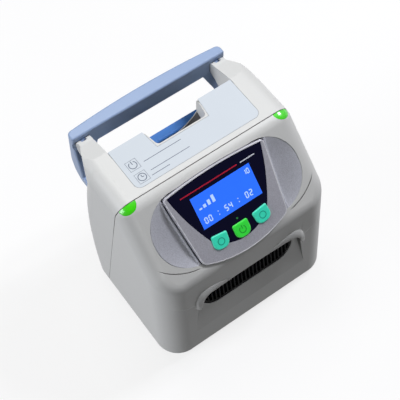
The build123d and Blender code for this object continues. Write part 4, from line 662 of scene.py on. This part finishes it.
# -------------------- printed marks on the top
# Places are (x, y) on the level top. A framed switch sign and a framed clock sign stand one
# behind the other, with plain rules beside them, each with its left end, right end and y.
SWITCH_SIGN = (-57.0, 17.5)
CLOCK_SIGN = (-57.0, 2.6)
SIGN_FRAME = 11.0
SIGN_RING_WIDTH = 0.7
SWITCH_RADIUS = 3.4
SWITCH_RING = (120.0, 420.0)  # from and to, in degrees anticlockwise from the right
SWITCH_STROKE = (0.7, 4.2)
SWITCH_STROKE_UP = 2.6
CLOCK_RADIUS = 3.5
CLOCK_HAND_WIDTH = 0.6
LONG_HAND = 2.6
SHORT_HAND = 2.0
RULES = ((-47.0, -7.0, 15.0), (-47.0, -5.0, 4.0), (-49.0, -30.0, -1.0))


def frame_parts(x, y, width, low, high):
    """Thin square frame about a middle point: the band between two squares, half a rule wide."""
    inner, outer = (np.array(bar_outline(x, y, size, size)) for size in (SIGN_FRAME - width, SIGN_FRAME))
    return ribbon_parts(inner, outer, top_place, low, high, closed=True)


def switch_parts(x, y, low, high):
    """Switch sign: a ring open at its top, with an upright stroke in the opening."""
    return [ring_parts(x, y, SWITCH_RADIUS, SIGN_RING_WIDTH, top_place, low, high, *SWITCH_RING),
            bar_parts(x, y + SWITCH_STROKE_UP, *SWITCH_STROKE, top_place, low, high)]


def clock_parts(x, y, low, high):
    """Clock sign: a ring with one hand straight up and one to the right."""
    return [ring_parts(x, y, CLOCK_RADIUS, SIGN_RING_WIDTH, top_place, low, high),
            bar_parts(x, y + LONG_HAND / 2, CLOCK_HAND_WIDTH, LONG_HAND, top_place, low, high),
            bar_parts(x + SHORT_HAND / 2, y, SHORT_HAND, CLOCK_HAND_WIDTH, top_place, low, high)]


class PUMP_OT_top_marks(bpy.types.Operator):
    """Prints the framed signs and the plain rules on the top film"""
    bl_idname = "pump.top_marks"
    bl_label = "Top marks"

    def execute(self, context):
        sizes = context.scene.pump_sizes
        width = sizes.rule_width / MM
        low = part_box("top_panel")[1].z / MM
        high = low + sizes.print_depth / MM
        parts = []
        for place, sign_parts in ((SWITCH_SIGN, switch_parts), (CLOCK_SIGN, clock_parts)):
            parts += [frame_parts(*place, width, low, high), *sign_parts(*place, low, high)]
        for left, right, y in RULES:
            parts.append(bar_parts((left + right) / 2, y, right - left, width, top_place, low, high))
        build_piece("top_marks", parts, moulded_abs("ink_grey", srgb("#4F5A6E"), roughness=0.5))
        return {"FINISHED"}


# -------------------- dish and bezel
# Sizes and heights on the display face. The dish is a rounded rectangle with a hollow that
# slopes in from its edge, and the bezel's side leans inwards towards the buttons.
DISH_HALF = 80.0
DISH_LOW = -44.0
DISH_HIGH = 31.0
DISH_CORNER = 36.0
DISH_SIDE_GAP = 0.3
DISH_TOP_END = 28.2      # where the hollow starts and ends, up the slope
DISH_LOW_END = -43.6
DISH_LEVEL = -3.75       # height of the hollow's level middle
DISH_RISE = 3.5
DISH_SLOPE_WIDTH = 22.0
DISH_HEIGHTS = (-3.8, -0.2)
DISH_FLOOR = -3.95
DISH_ROWS = 72
DISH_COLUMNS = 30
LIP_RISE = 1.5
LIP_PLACE = 1.5
LIP_WIDTH = 0.8
GROOVE_WIDTH = 0.7
GROOVE_LEVEL = -3.4
BEZEL_CORNERS = ((55.5, 28.5), (48.0, -45.0))
# Distances out from the bezel where the grid has a column: under it, in the groove, on the lip.
NEAR_COLUMNS = (-4.0, -1.0, 0.5, 0.65, 0.8, 1.0, 1.25, 1.5, 1.8, 2.2, 2.7)

GLASS_TOP = 2.1          # height of the window and the bezel's rim above the display face
RIM_SLACK = 0.05         # how far below the rim a point still counts as on it
# Lines along the bezel: how far inside its outline each has its inner and its outer edge, and the
# heights of its underside and its top. The two glints are pale strips of painted highlight, on the rim
# and beyond the groove; the shadow gap is a dark strip of painted shade in the groove.
RIM_GLINT = (0.6, 0.05, GLASS_TOP, GLASS_TOP + 0.04)
OUTER_GLINT = (-1.7, -2.4, -2.6, -2.3)
SHADOW_GAP = (-0.85, -1.5, -1.0, -0.9)


def dish_parts(side):
    """Hollow of the dish on one side of the bezel, as a closed solid on the pocket's floor.

    The grid runs down the slope by a cosine and out from the bezel's side to the dish's edge.
    Heights, over the distance d in from the edge and the distance g out from the bezel, are
    -3.75 + 3.5 (1 - d / 22)^2 up to d = 22, with a lip 1.5 exp(-((g - 1.5) / 0.8)^2) along
    the bezel and a groove where g is under 0.7.
    """
    turn = np.linspace(0.0, math.pi, DISH_ROWS)[:, None]
    up = (DISH_TOP_END + DISH_LOW_END) / 2 + (DISH_TOP_END - DISH_LOW_END) / 2 * np.cos(turn)
    (top_x, top_up), (low_x, low_up) = BEZEL_CORNERS
    bezel = low_x + (up - low_up) * (top_x - low_x) / (top_up - low_up)
    straight = (DISH_HIGH - DISH_LOW) / 2 - DISH_CORNER
    beyond = np.clip(np.abs(up - (DISH_LOW + DISH_HIGH) / 2) - straight, 0.0, None)
    corner = np.sqrt(DISH_CORNER ** 2 - np.minimum(beyond, DISH_CORNER) ** 2)
    edge = DISH_HALF - DISH_CORNER + corner - DISH_SIDE_GAP
    near = np.array(NEAR_COLUMNS)[None, :]
    far = near[:, -1:] + (edge - bezel - near[:, -1:]) * np.linspace(0.0, 1.0, DISH_COLUMNS)[None, 1:]
    gap = np.minimum(np.hstack([near.repeat(DISH_ROWS, axis=0), far]), np.maximum(edge - bezel, 0.0))
    across = bezel + gap
    corner_x = np.clip(across - (DISH_HALF - DISH_CORNER), 0.0, None)
    inward = np.clip(DISH_CORNER - np.hypot(corner_x, beyond), 0.0, None)
    height = DISH_LEVEL + DISH_RISE * (1 - np.clip(inward / DISH_SLOPE_WIDTH, 0.0, 1.0)) ** 2
    height = height + LIP_RISE * np.exp(-((gap - LIP_PLACE) / LIP_WIDTH) ** 2)
    height = np.where(gap < GROOVE_WIDTH, GROOVE_LEVEL, np.clip(height, *DISH_HEIGHTS))
    points = np.column_stack([side * across.ravel(), up.repeat(across.shape[1])])
    front, back = (face_place(points, level).reshape(*across.shape, 3)
                   for level in (height.ravel(), DISH_FLOOR))
    return slab_parts(front, back, side > 0)


def bezel_line(inner, outer, low, high):
    """Band along the bezel's rim: its outline is the hull of its face, moved in by each distance.

    A point moves along the mean of the ways square to its two edges.
    """
    mesh = NODES["display_bezel"].data
    points = np.empty(3 * len(mesh.vertices))
    mesh.vertices.foreach_get("co", points)
    away = points.reshape(-1, 3) - np.array(FACE_MIDDLE)
    front = away[away @ np.array(FACE_OUT) > (GLASS_TOP - RIM_SLACK) * MM]
    flat = np.column_stack([front[:, 0], front @ np.array(FACE_UP)]) / MM
    hull = flat[convex_hull_2d([Vector(point) for point in flat])]
    ahead = np.roll(hull, -1, axis=0) - hull
    ahead /= np.linalg.norm(ahead, axis=1)[:, None]
    square = np.column_stack([-ahead[:, 1], ahead[:, 0]])
    inward = square + np.roll(square, 1, axis=0)
    inward /= np.linalg.norm(inward, axis=1)[:, None]
    # the hull may come either way round
    if np.sum(inward * (hull.mean(axis=0) - hull)) < 0:
        inward = -inward
    return ribbon_parts(hull + inner * inward, hull + outer * inward, face_place, low, high, True)


class PUMP_OT_bezel(bpy.types.Operator):
    """Finishes the dish and the bezel, with painted highlights and painted shade along its rim"""
    bl_idname = "pump.bezel"
    bl_label = "Dish and bezel"

    def execute(self, context):
        colours = context.scene.pump_finish
        lacquer = silver_lacquer("dish_lacquer", colours.dish, roughness=0.4, flake_share=0.3)
        dish = build_piece("display_dish", [dish_parts(-1), dish_parts(1)], lacquer,
                           smooth=True)
        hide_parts("display_surround")
        dress(["display_bezel"],
              silver_lacquer("bezel_lacquer", colours.silver, roughness=0.3, flake_share=0.3))
        # Painted highlights: pale strips along the bezel's rim and beyond its groove.
        build_piece("bezel_glint", [bezel_line(*RIM_GLINT), bezel_line(*OUTER_GLINT)],
                    silver_lacquer("glint_lacquer", srgb("#F4F5F8"), roughness=0.25, flake_share=0.1))
        # Painted shade: a dark strip laid in the groove round the bezel.
        build_piece("bezel_shadow_gap", [bezel_line(*SHADOW_GAP)],
                    moulded_abs("groove_shade_abs", srgb("#0C0D10"), roughness=0.7))
        return {"FINISHED"}


# -------------------- window and screen
# Places are (x, up the slope) on the display face. The timer has three pairs of figures with
# dots between them, a number stands in the upper corner, and the bars show the pressure.
SCREEN_SIZE = (65.0, 32.0)
TIMER_PAIRS = (("00", -24.6), ("54", -2.4), ("02", 20.4))
TIMER_UP = -9.3
PAIR_SHIFT = 0.36        # from a pair's middle to its figures' middles, as a share of their height
DOT_X = (-13.2, 8.8)
DOT_UP = (-11.0, -7.6)
DOT_SIZE = 0.9
CORNER_FIGURES = (("1", 25.0), ("0", 28.6))
CORNER_UP = 10.2
CORNER_SHARE = 0.85      # height of the corner's figures as a share of the timer's
PRESSURE_BARS = ((-27.0, 1.6), (-22.4, 3.2), (-17.4, 5.0), (-12.4, 7.0))
PRESSURE_WIDTH = 3.0
PRESSURE_FOOT = 2.0

# Printed lines above the screen: name, middle, length and ink.
ACCENTS = (("red", -9.5, 62.0, "#C01838"), ("white", 33.0, 16.0, "#D8DCE4"))
ACCENT_UP = 20.6
ACCENT_HEIGHT = 1.1

# Which of a figure's seven bars are lit: top, upper left, upper right, middle,
# lower left, lower right, bottom.
LIT_BARS = {"0": "1110111", "1": "0010010", "2": "1011101", "4": "0111010", "5": "1101011"}
FIGURE_WIDTH = 0.55      # as a share of its height, as is the stroke
FIGURE_STROKE = 0.16
LEVEL_BAR_TRIM = 1.3     # what a level bar lacks of the figure's width, in strokes
UPRIGHT_BAR_TRIM = 0.4   # what an upright bar lacks of its half of the figure, in strokes


def figure_parts(figure, x, y, height, low, high):
    """Seven-bar figure about a middle point: each lit bar is a thin plate."""
    width = FIGURE_WIDTH * height
    stroke = FIGURE_STROKE * height
    side = (width - stroke) / 2
    tall = (height - stroke) / 2
    level = (width - LEVEL_BAR_TRIM * stroke, stroke)
    upright = (stroke, tall - UPRIGHT_BAR_TRIM * stroke)
    bars = [(0, tall, level), (-side, tall / 2, upright), (side, tall / 2, upright), (0, 0, level),
            (-side, -tall / 2, upright), (side, -tall / 2, upright), (0, -tall, level)]
    return [bar_parts(x + dx, y + dy, *size, face_place, low, high)
            for lit, (dx, dy, size) in zip(LIT_BARS[figure], bars) if lit == "1"]


def screen_parts(height, low, high):
    """All that the screen shows: timer, dots, corner number and pressure bars."""
    parts = []
    for pair, x in TIMER_PAIRS:
        for figure, shift in zip(pair, (-PAIR_SHIFT, PAIR_SHIFT)):
            parts += figure_parts(figure, x + shift * height, TIMER_UP, height, low, high)
    for x in DOT_X:
        for y in DOT_UP:
            parts.append(bar_parts(x, y, DOT_SIZE, DOT_SIZE, face_place, low, high))
    for figure, x in CORNER_FIGURES:
        parts += figure_parts(figure, x, CORNER_UP, CORNER_SHARE * height, low, high)
    for x, tall in PRESSURE_BARS:
        parts.append(bar_parts(x, PRESSURE_FOOT + tall / 2, PRESSURE_WIDTH, tall, face_place, low, high))
    return parts


class PUMP_OT_display(bpy.types.Operator):
    """Finishes the window and lights the screen with its figures"""
    bl_idname = "pump.display"
    bl_label = "Window and screen"

    def execute(self, context):
        colours = context.scene.pump_finish
        sizes = context.scene.pump_sizes
        dress(["display_window"], tinted_acrylic("window_acrylic", colours.window))
        dress(["status_led"], clear_moulding("status_lens", srgb("#2A8A3A"), glow=0.1))
        dress(["screen"], lit_glass("screen_glass", colours.screen, strength=0.5))
        depth = sizes.print_depth / MM
        lit_top = GLASS_TOP + depth
        ink_top = lit_top + depth
        build_piece("screen_lit", [bar_parts(0, 0, *SCREEN_SIZE, face_place, GLASS_TOP, lit_top)],
                    lit_glass("backlight", colours.screen, strength=0.62))
        build_piece("screen_figures", screen_parts(sizes.digit_height / MM, lit_top, ink_top),
                    lit_glass("lit_figures", srgb("#A9C4FF"), strength=0.6))
        for name, x, length, ink in ACCENTS:
            line = bar_parts(x, ACCENT_UP, length, ACCENT_HEIGHT, face_place, GLASS_TOP, ink_top)
            build_piece(f"accent_{name}", [line], moulded_abs(f"ink_{name}", srgb(ink)))
        return {"FINISHED"}


# -------------------- buttons and lamps
# Middle of each button on the display face, and the height of its flat top above the face.
BUTTON_PLACES = {"left": (-23.4, -33.6), "middle": (0.0, -35.0), "right": (23.4, -33.6)}
BUTTON_TOP = 3.5
MARK_RADIUS = 3.0
MARK_WIDTH = 0.6
OPEN_RING = (125.0, 415.0)  # from and to, in degrees
MARK_STROKE = 3.4
MARK_STROKE_UP = 2.4


def button_mark_parts(name, low, high):
    """Plain ring on a side button, an open ring with an upright stroke on the middle one."""
    x, y = BUTTON_PLACES[name]
    if name != "middle":
        return [ring_parts(x, y, MARK_RADIUS, MARK_WIDTH, face_place, low, high)]
    return [ring_parts(x, y, MARK_RADIUS, MARK_WIDTH, face_place, low, high, *OPEN_RING),
            bar_parts(x, y + MARK_STROKE_UP, MARK_WIDTH, MARK_STROKE, face_place, low, high)]


class PUMP_OT_buttons(bpy.types.Operator):
    """Finishes the push buttons and the shoulder lamps"""
    bl_idname = "pump.buttons"
    bl_label = "Buttons and lamps"

    def execute(self, context):
        colours = context.scene.pump_finish
        # The buttons' glow is painted light that brightens them.
        dress(["button_left", "button_right"],
              clear_moulding("side_button_silicone", colours.side_button, glow=0.3, roughness=0.35))
        dress(["button_middle"],
              clear_moulding("middle_button_silicone", colours.middle_button, glow=0.3, roughness=0.35))
        high = BUTTON_TOP + context.scene.pump_sizes.print_depth / MM
        for name in BUTTON_PLACES:
            ink = srgb("#137A2A") if name == "middle" else srgb("#12806C")
            build_piece(f"{name}_button_mark", button_mark_parts(name, BUTTON_TOP, high),
                        moulded_abs(f"{name}_mark_ink", ink), f"{name}_button")
        dress(["lamp_left", "lamp_right"],
              clear_moulding("lens_polycarbonate", colours.lens, glow=0.12))
        return {"FINISHED"}


# -------------------- hook frame
class PUMP_OT_hook(bpy.types.Operator):
    """Finishes the hook frame, its pad and its pins"""
    bl_idname = "pump.hook"
    bl_label = "Hook frame"

    def execute(self, context):
        colours = context.scene.pump_finish
        dress(["hook_frame"],
              moulded_abs("hook_nylon", colours.hook, roughness=0.36, grain_strength=0.03))
        dress(["hook_pad"], moulded_rubber("pad_elastomer", colours.pad, roughness=0.55))
        dress(["hinge_pins"], plated_steel("pin_steel", srgb("#A8AAAE")))
        return {"FINISHED"}


# -------------------- back panel and inner works
class PUMP_OT_back_panel(bpy.types.Operator):
    """Finishes the mains inlet, the hose ports and the outer screws"""
    bl_idname = "pump.back_panel"
    bl_label = "Back panel"

    def execute(self, context):
        dress(["mains_inlet"], moulded_abs("inlet_nylon", srgb("#1A1A1C"), roughness=0.38))
        dress(["hose_ports"], moulded_abs("port_acetal", srgb("#7C8086"), roughness=0.35))
        dress(["shell_screws", "tray_screws"], plated_steel("screw_steel", srgb("#9A9C9F")))
        return {"FINISHED"}


class PUMP_OT_inner_works(bpy.types.Operator):
    """Finishes the compressor, the valves, the boards and the battery"""
    bl_idname = "pump.inner_works"
    bl_label = "Inner works"

    def execute(self, context):
        dress(["compressor_plate", "motor", "display_screws", "main_screws", "manifold_screws",
               "battery_strap"], plated_steel("bracket_steel", srgb("#A2A4A6")))
        dress(["compressor_block", "compressor_head", "motor_cradle"],
              cast_aluminium("pump_casting", srgb("#B4B5B8")))
        dress(["compressor_mounts"], moulded_rubber("mount_rubber", srgb("#1C1C1E")))
        dress(["intake_filter"], pressed_felt("filter_felt", srgb("#E2E0D8")))
        dress(["valve_manifold", "power_posts"], moulded_abs("manifold_nylon", srgb("#8A8D92")))
        dress(["valves", "transformer", "capacitors", "buzzer", "display_parts", "main_parts",
               "lamp_leds"], moulded_abs("component_epoxy", srgb("#202124"), roughness=0.35))
        dress(["supply_tube", "outlet_tubes", "keypad_mat"],
              moulded_rubber("tube_silicone", srgb("#C9CCCB"), roughness=0.45))
        dress(["display_board", "main_board", "power_board"],
              solder_mask("board_laminate", srgb("#1C5A34")))
        dress(["battery"], printed_film("battery_wrap", srgb("#234E96")))
        dress(["ribbon_cable"], moulded_rubber("ribbon_vinyl", srgb("#8C8F94"), roughness=0.5))
        return {"FINISHED"}


# -------------------- stage
# Camera: its turn, look down and roll in radians, its shift and distance from a point on the
# floor in millimetres, and its focal length in pixels of the render.
CAMERA_TURN = 0.59819
CAMERA_TILT = 1.05154
CAMERA_ROLL = 0.028074
CAMERA_SIDE = -22.380
CAMERA_RISE = 82.034
CAMERA_DISTANCE = 1103.142
CAMERA_ORIGIN = Vector((0.0, -42.5, 0.0))
CAMERA_FOCUS = 1060.502
RENDER_WIDTH = 400.0
SENSOR_WIDTH = 36.0
CAMERA_REACH = 20.0      # in metres

# Lamps: name, place in metres, width in metres, power in watts and colour. All aim at one point.
LAMPS = (("key", (0.1, 0.85, 1.85), 0.9, 13.0, "#FFFEFA"),
         ("side", (-1.6, 0.3, 0.8), 0.8, 19.0, "#F6F8FF"),
         ("rim", (1.1, 0.02, 1.5), 0.35, 24.0, "#F8F8FF"),
         ("glint", (-0.48, -1.34, 0.72), 0.25, 1.2, "#FFFFFF"))
LAMP_AIM = Vector((0.0, 0.0, 0.12))

FLOOR_HALF = 6.0         # in metres
FLOOR_SEEN = "#EDEDED"   # the floor's colour to the camera
FLOOR_BOUNCE = "#444448" # its colour to the light that it throws back at the pump
FLOOR_GLOW = 0.8         # share of plain white in what is seen of the floor
SKY_FILL = 0.04          # strength of the surroundings as a light; where seen it is one


class PUMP_OT_stage(bpy.types.Operator):
    """Sets the floor, the lamps, the pale surroundings and the camera"""
    bl_idname = "pump.stage"
    bl_label = "Stage"

    def execute(self, context):
        scene = context.scene
        scene.view_settings.view_transform = "Standard"
        self.add_camera(scene)
        self.add_floor(scene)
        self.add_world(scene)
        self.add_lamps(scene)
        return {"FINISHED"}

    def add_camera(self, scene):
        """Camera for a square render: its axes come from the turn and the tilt, then the roll."""
        ahead = Vector((math.sin(CAMERA_TURN) * math.cos(CAMERA_TILT),
                        math.cos(CAMERA_TURN) * math.cos(CAMERA_TILT), -math.sin(CAMERA_TILT)))
        right = Vector((math.cos(CAMERA_TURN), -math.sin(CAMERA_TURN), 0.0))
        up = right.cross(ahead)
        place = CAMERA_SIDE * right + CAMERA_RISE * up - CAMERA_DISTANCE * ahead + CAMERA_ORIGIN
        across = math.cos(CAMERA_ROLL) * right - math.sin(CAMERA_ROLL) * up
        upward = math.sin(CAMERA_ROLL) * right + math.cos(CAMERA_ROLL) * up
        turn = Matrix((across, upward, -ahead)).transposed()
        data = bpy.data.cameras.new("camera")
        data.sensor_width = SENSOR_WIDTH
        data.lens = CAMERA_FOCUS * SENSOR_WIDTH / RENDER_WIDTH
        data.clip_end = CAMERA_REACH
        camera = bpy.data.objects.new("camera", data)
        scene.collection.objects.link(camera)
        camera.matrix_world = Matrix.Translation(place * MM) @ turn.to_4x4()
        scene.camera = camera

    def add_floor(self, scene):
        """Wide pale floor that shows white to the camera and keeps a soft shadow."""
        mesh = bpy.data.meshes.new("floor")
        corners = [(x, y, 0.0) for x, y in bar_outline(0.0, 0.0, 2 * FLOOR_HALF, 2 * FLOOR_HALF)]
        mesh.from_pydata(corners, [], [(0, 1, 2, 3)])
        floor = bpy.data.objects.new("floor", mesh)
        scene.collection.objects.link(floor)
        material, tree, where = new_material("floor_paper")
        path = add(tree, "LightPath").outputs
        tone = add(tree, "Mix", {"Factor": path["Is Camera Ray"], 6: rgba(srgb(FLOOR_BOUNCE)),
                                 7: shades(tree, where, srgb(FLOOR_SEEN), spread=0.01, size=200.0)},
                   data_type="RGBA")
        paper = add(tree, "BsdfDiffuse", {"Color": tone.outputs[2]})
        bright = add(tree, "Emission", {"Color": (1, 1, 1, 1), "Strength": 1.0})
        seen = path["Is Camera Ray"]
        for ray in ("Is Glossy Ray", "Is Transmission Ray"):
            seen = add(tree, "Math", {0: seen, 1: path[ray]}, operation="MAXIMUM").outputs[0]
        share = add(tree, "Math", {0: seen, 1: FLOOR_GLOW}, operation="MULTIPLY").outputs[0]
        surface = add(tree, "MixShader", {0: share, 1: paper.outputs[0], 2: bright.outputs[0]})
        add(tree, "OutputMaterial", {"Surface": surface.outputs[0]})
        mesh.materials.append(material)

    def add_world(self, scene):
        """White to the camera and through clear pieces, a faint grey fill elsewhere."""
        world = bpy.data.worlds.new("surroundings")
        world.use_nodes = True
        tree = world.node_tree
        tree.nodes.clear()
        path = add(tree, "LightPath").outputs
        seen = add(tree, "Math", {0: path["Is Camera Ray"], 1: path["Is Transmission Ray"]},
                   operation="MAXIMUM").outputs[0]
        strength = add(tree, "MapRange", {"Value": seen, "To Min": SKY_FILL, "To Max": 1.0})
        sky = add(tree, "Background", {"Color": (1, 1, 1, 1), "Strength": strength.outputs["Result"]})
        add(tree, "OutputWorld", {"Surface": sky.outputs[0]})
        scene.world = world

    def add_lamps(self, scene):
        """Square lamps that all face the same point of the pump."""
        for name, place, width, power, colour in LAMPS:
            light = bpy.data.lights.new(name, "AREA")
            light.size = width
            light.energy = power
            light.color = srgb(colour)
            lamp = bpy.data.objects.new(name, light)
            scene.collection.objects.link(lamp)
            lamp.location = place
            lamp.rotation_euler = (LAMP_AIM - lamp.location).to_track_quat("-Z", "Y").to_euler()


# -------------------- panel and registration
class PUMP_PT_sidebar(bpy.types.Panel):
    """Lists the pump's colours, sizes and steps"""
    bl_label = "Compression Therapy Pump"
    bl_idname = "PUMP_PT_sidebar"
    bl_space_type = "VIEW_3D"
    bl_region_type = "UI"
    bl_category = "Pump"

    def draw(self, context):
        layout = self.layout
        for group in (context.scene.pump_finish, context.scene.pump_sizes):
            for name in group.bl_rna.properties.keys():
                if name not in {"rna_type", "name"}:
                    layout.prop(group, name)
        for step in STEPS:
            layout.operator(step.bl_idname)


STEPS = (PUMP_OT_housing, PUMP_OT_top_marks, PUMP_OT_bezel, PUMP_OT_display, PUMP_OT_buttons,
         PUMP_OT_hook, PUMP_OT_back_panel, PUMP_OT_inner_works, PUMP_OT_stage)
CLASSES = (PumpFinish, PumpSizes, *STEPS, PUMP_PT_sidebar)


def register():
    for cls in CLASSES:
        bpy.utils.register_class(cls)
    bpy.types.Scene.pump_finish = bpy.props.PointerProperty(type=PumpFinish)
    bpy.types.Scene.pump_sizes = bpy.props.PointerProperty(type=PumpSizes)


def unregister():
    del bpy.types.Scene.pump_sizes
    del bpy.types.Scene.pump_finish
    for cls in reversed(CLASSES):
        bpy.utils.unregister_class(cls)


def main():
    register()
    bpy.ops.pump.housing()
    bpy.ops.pump.top_marks()
    bpy.ops.pump.bezel()
    bpy.ops.pump.display()
    bpy.ops.pump.buttons()
    bpy.ops.pump.hook()
    bpy.ops.pump.back_panel()
    bpy.ops.pump.inner_works()
    bpy.ops.pump.stage()


if __name__ == "__main__":
    main()
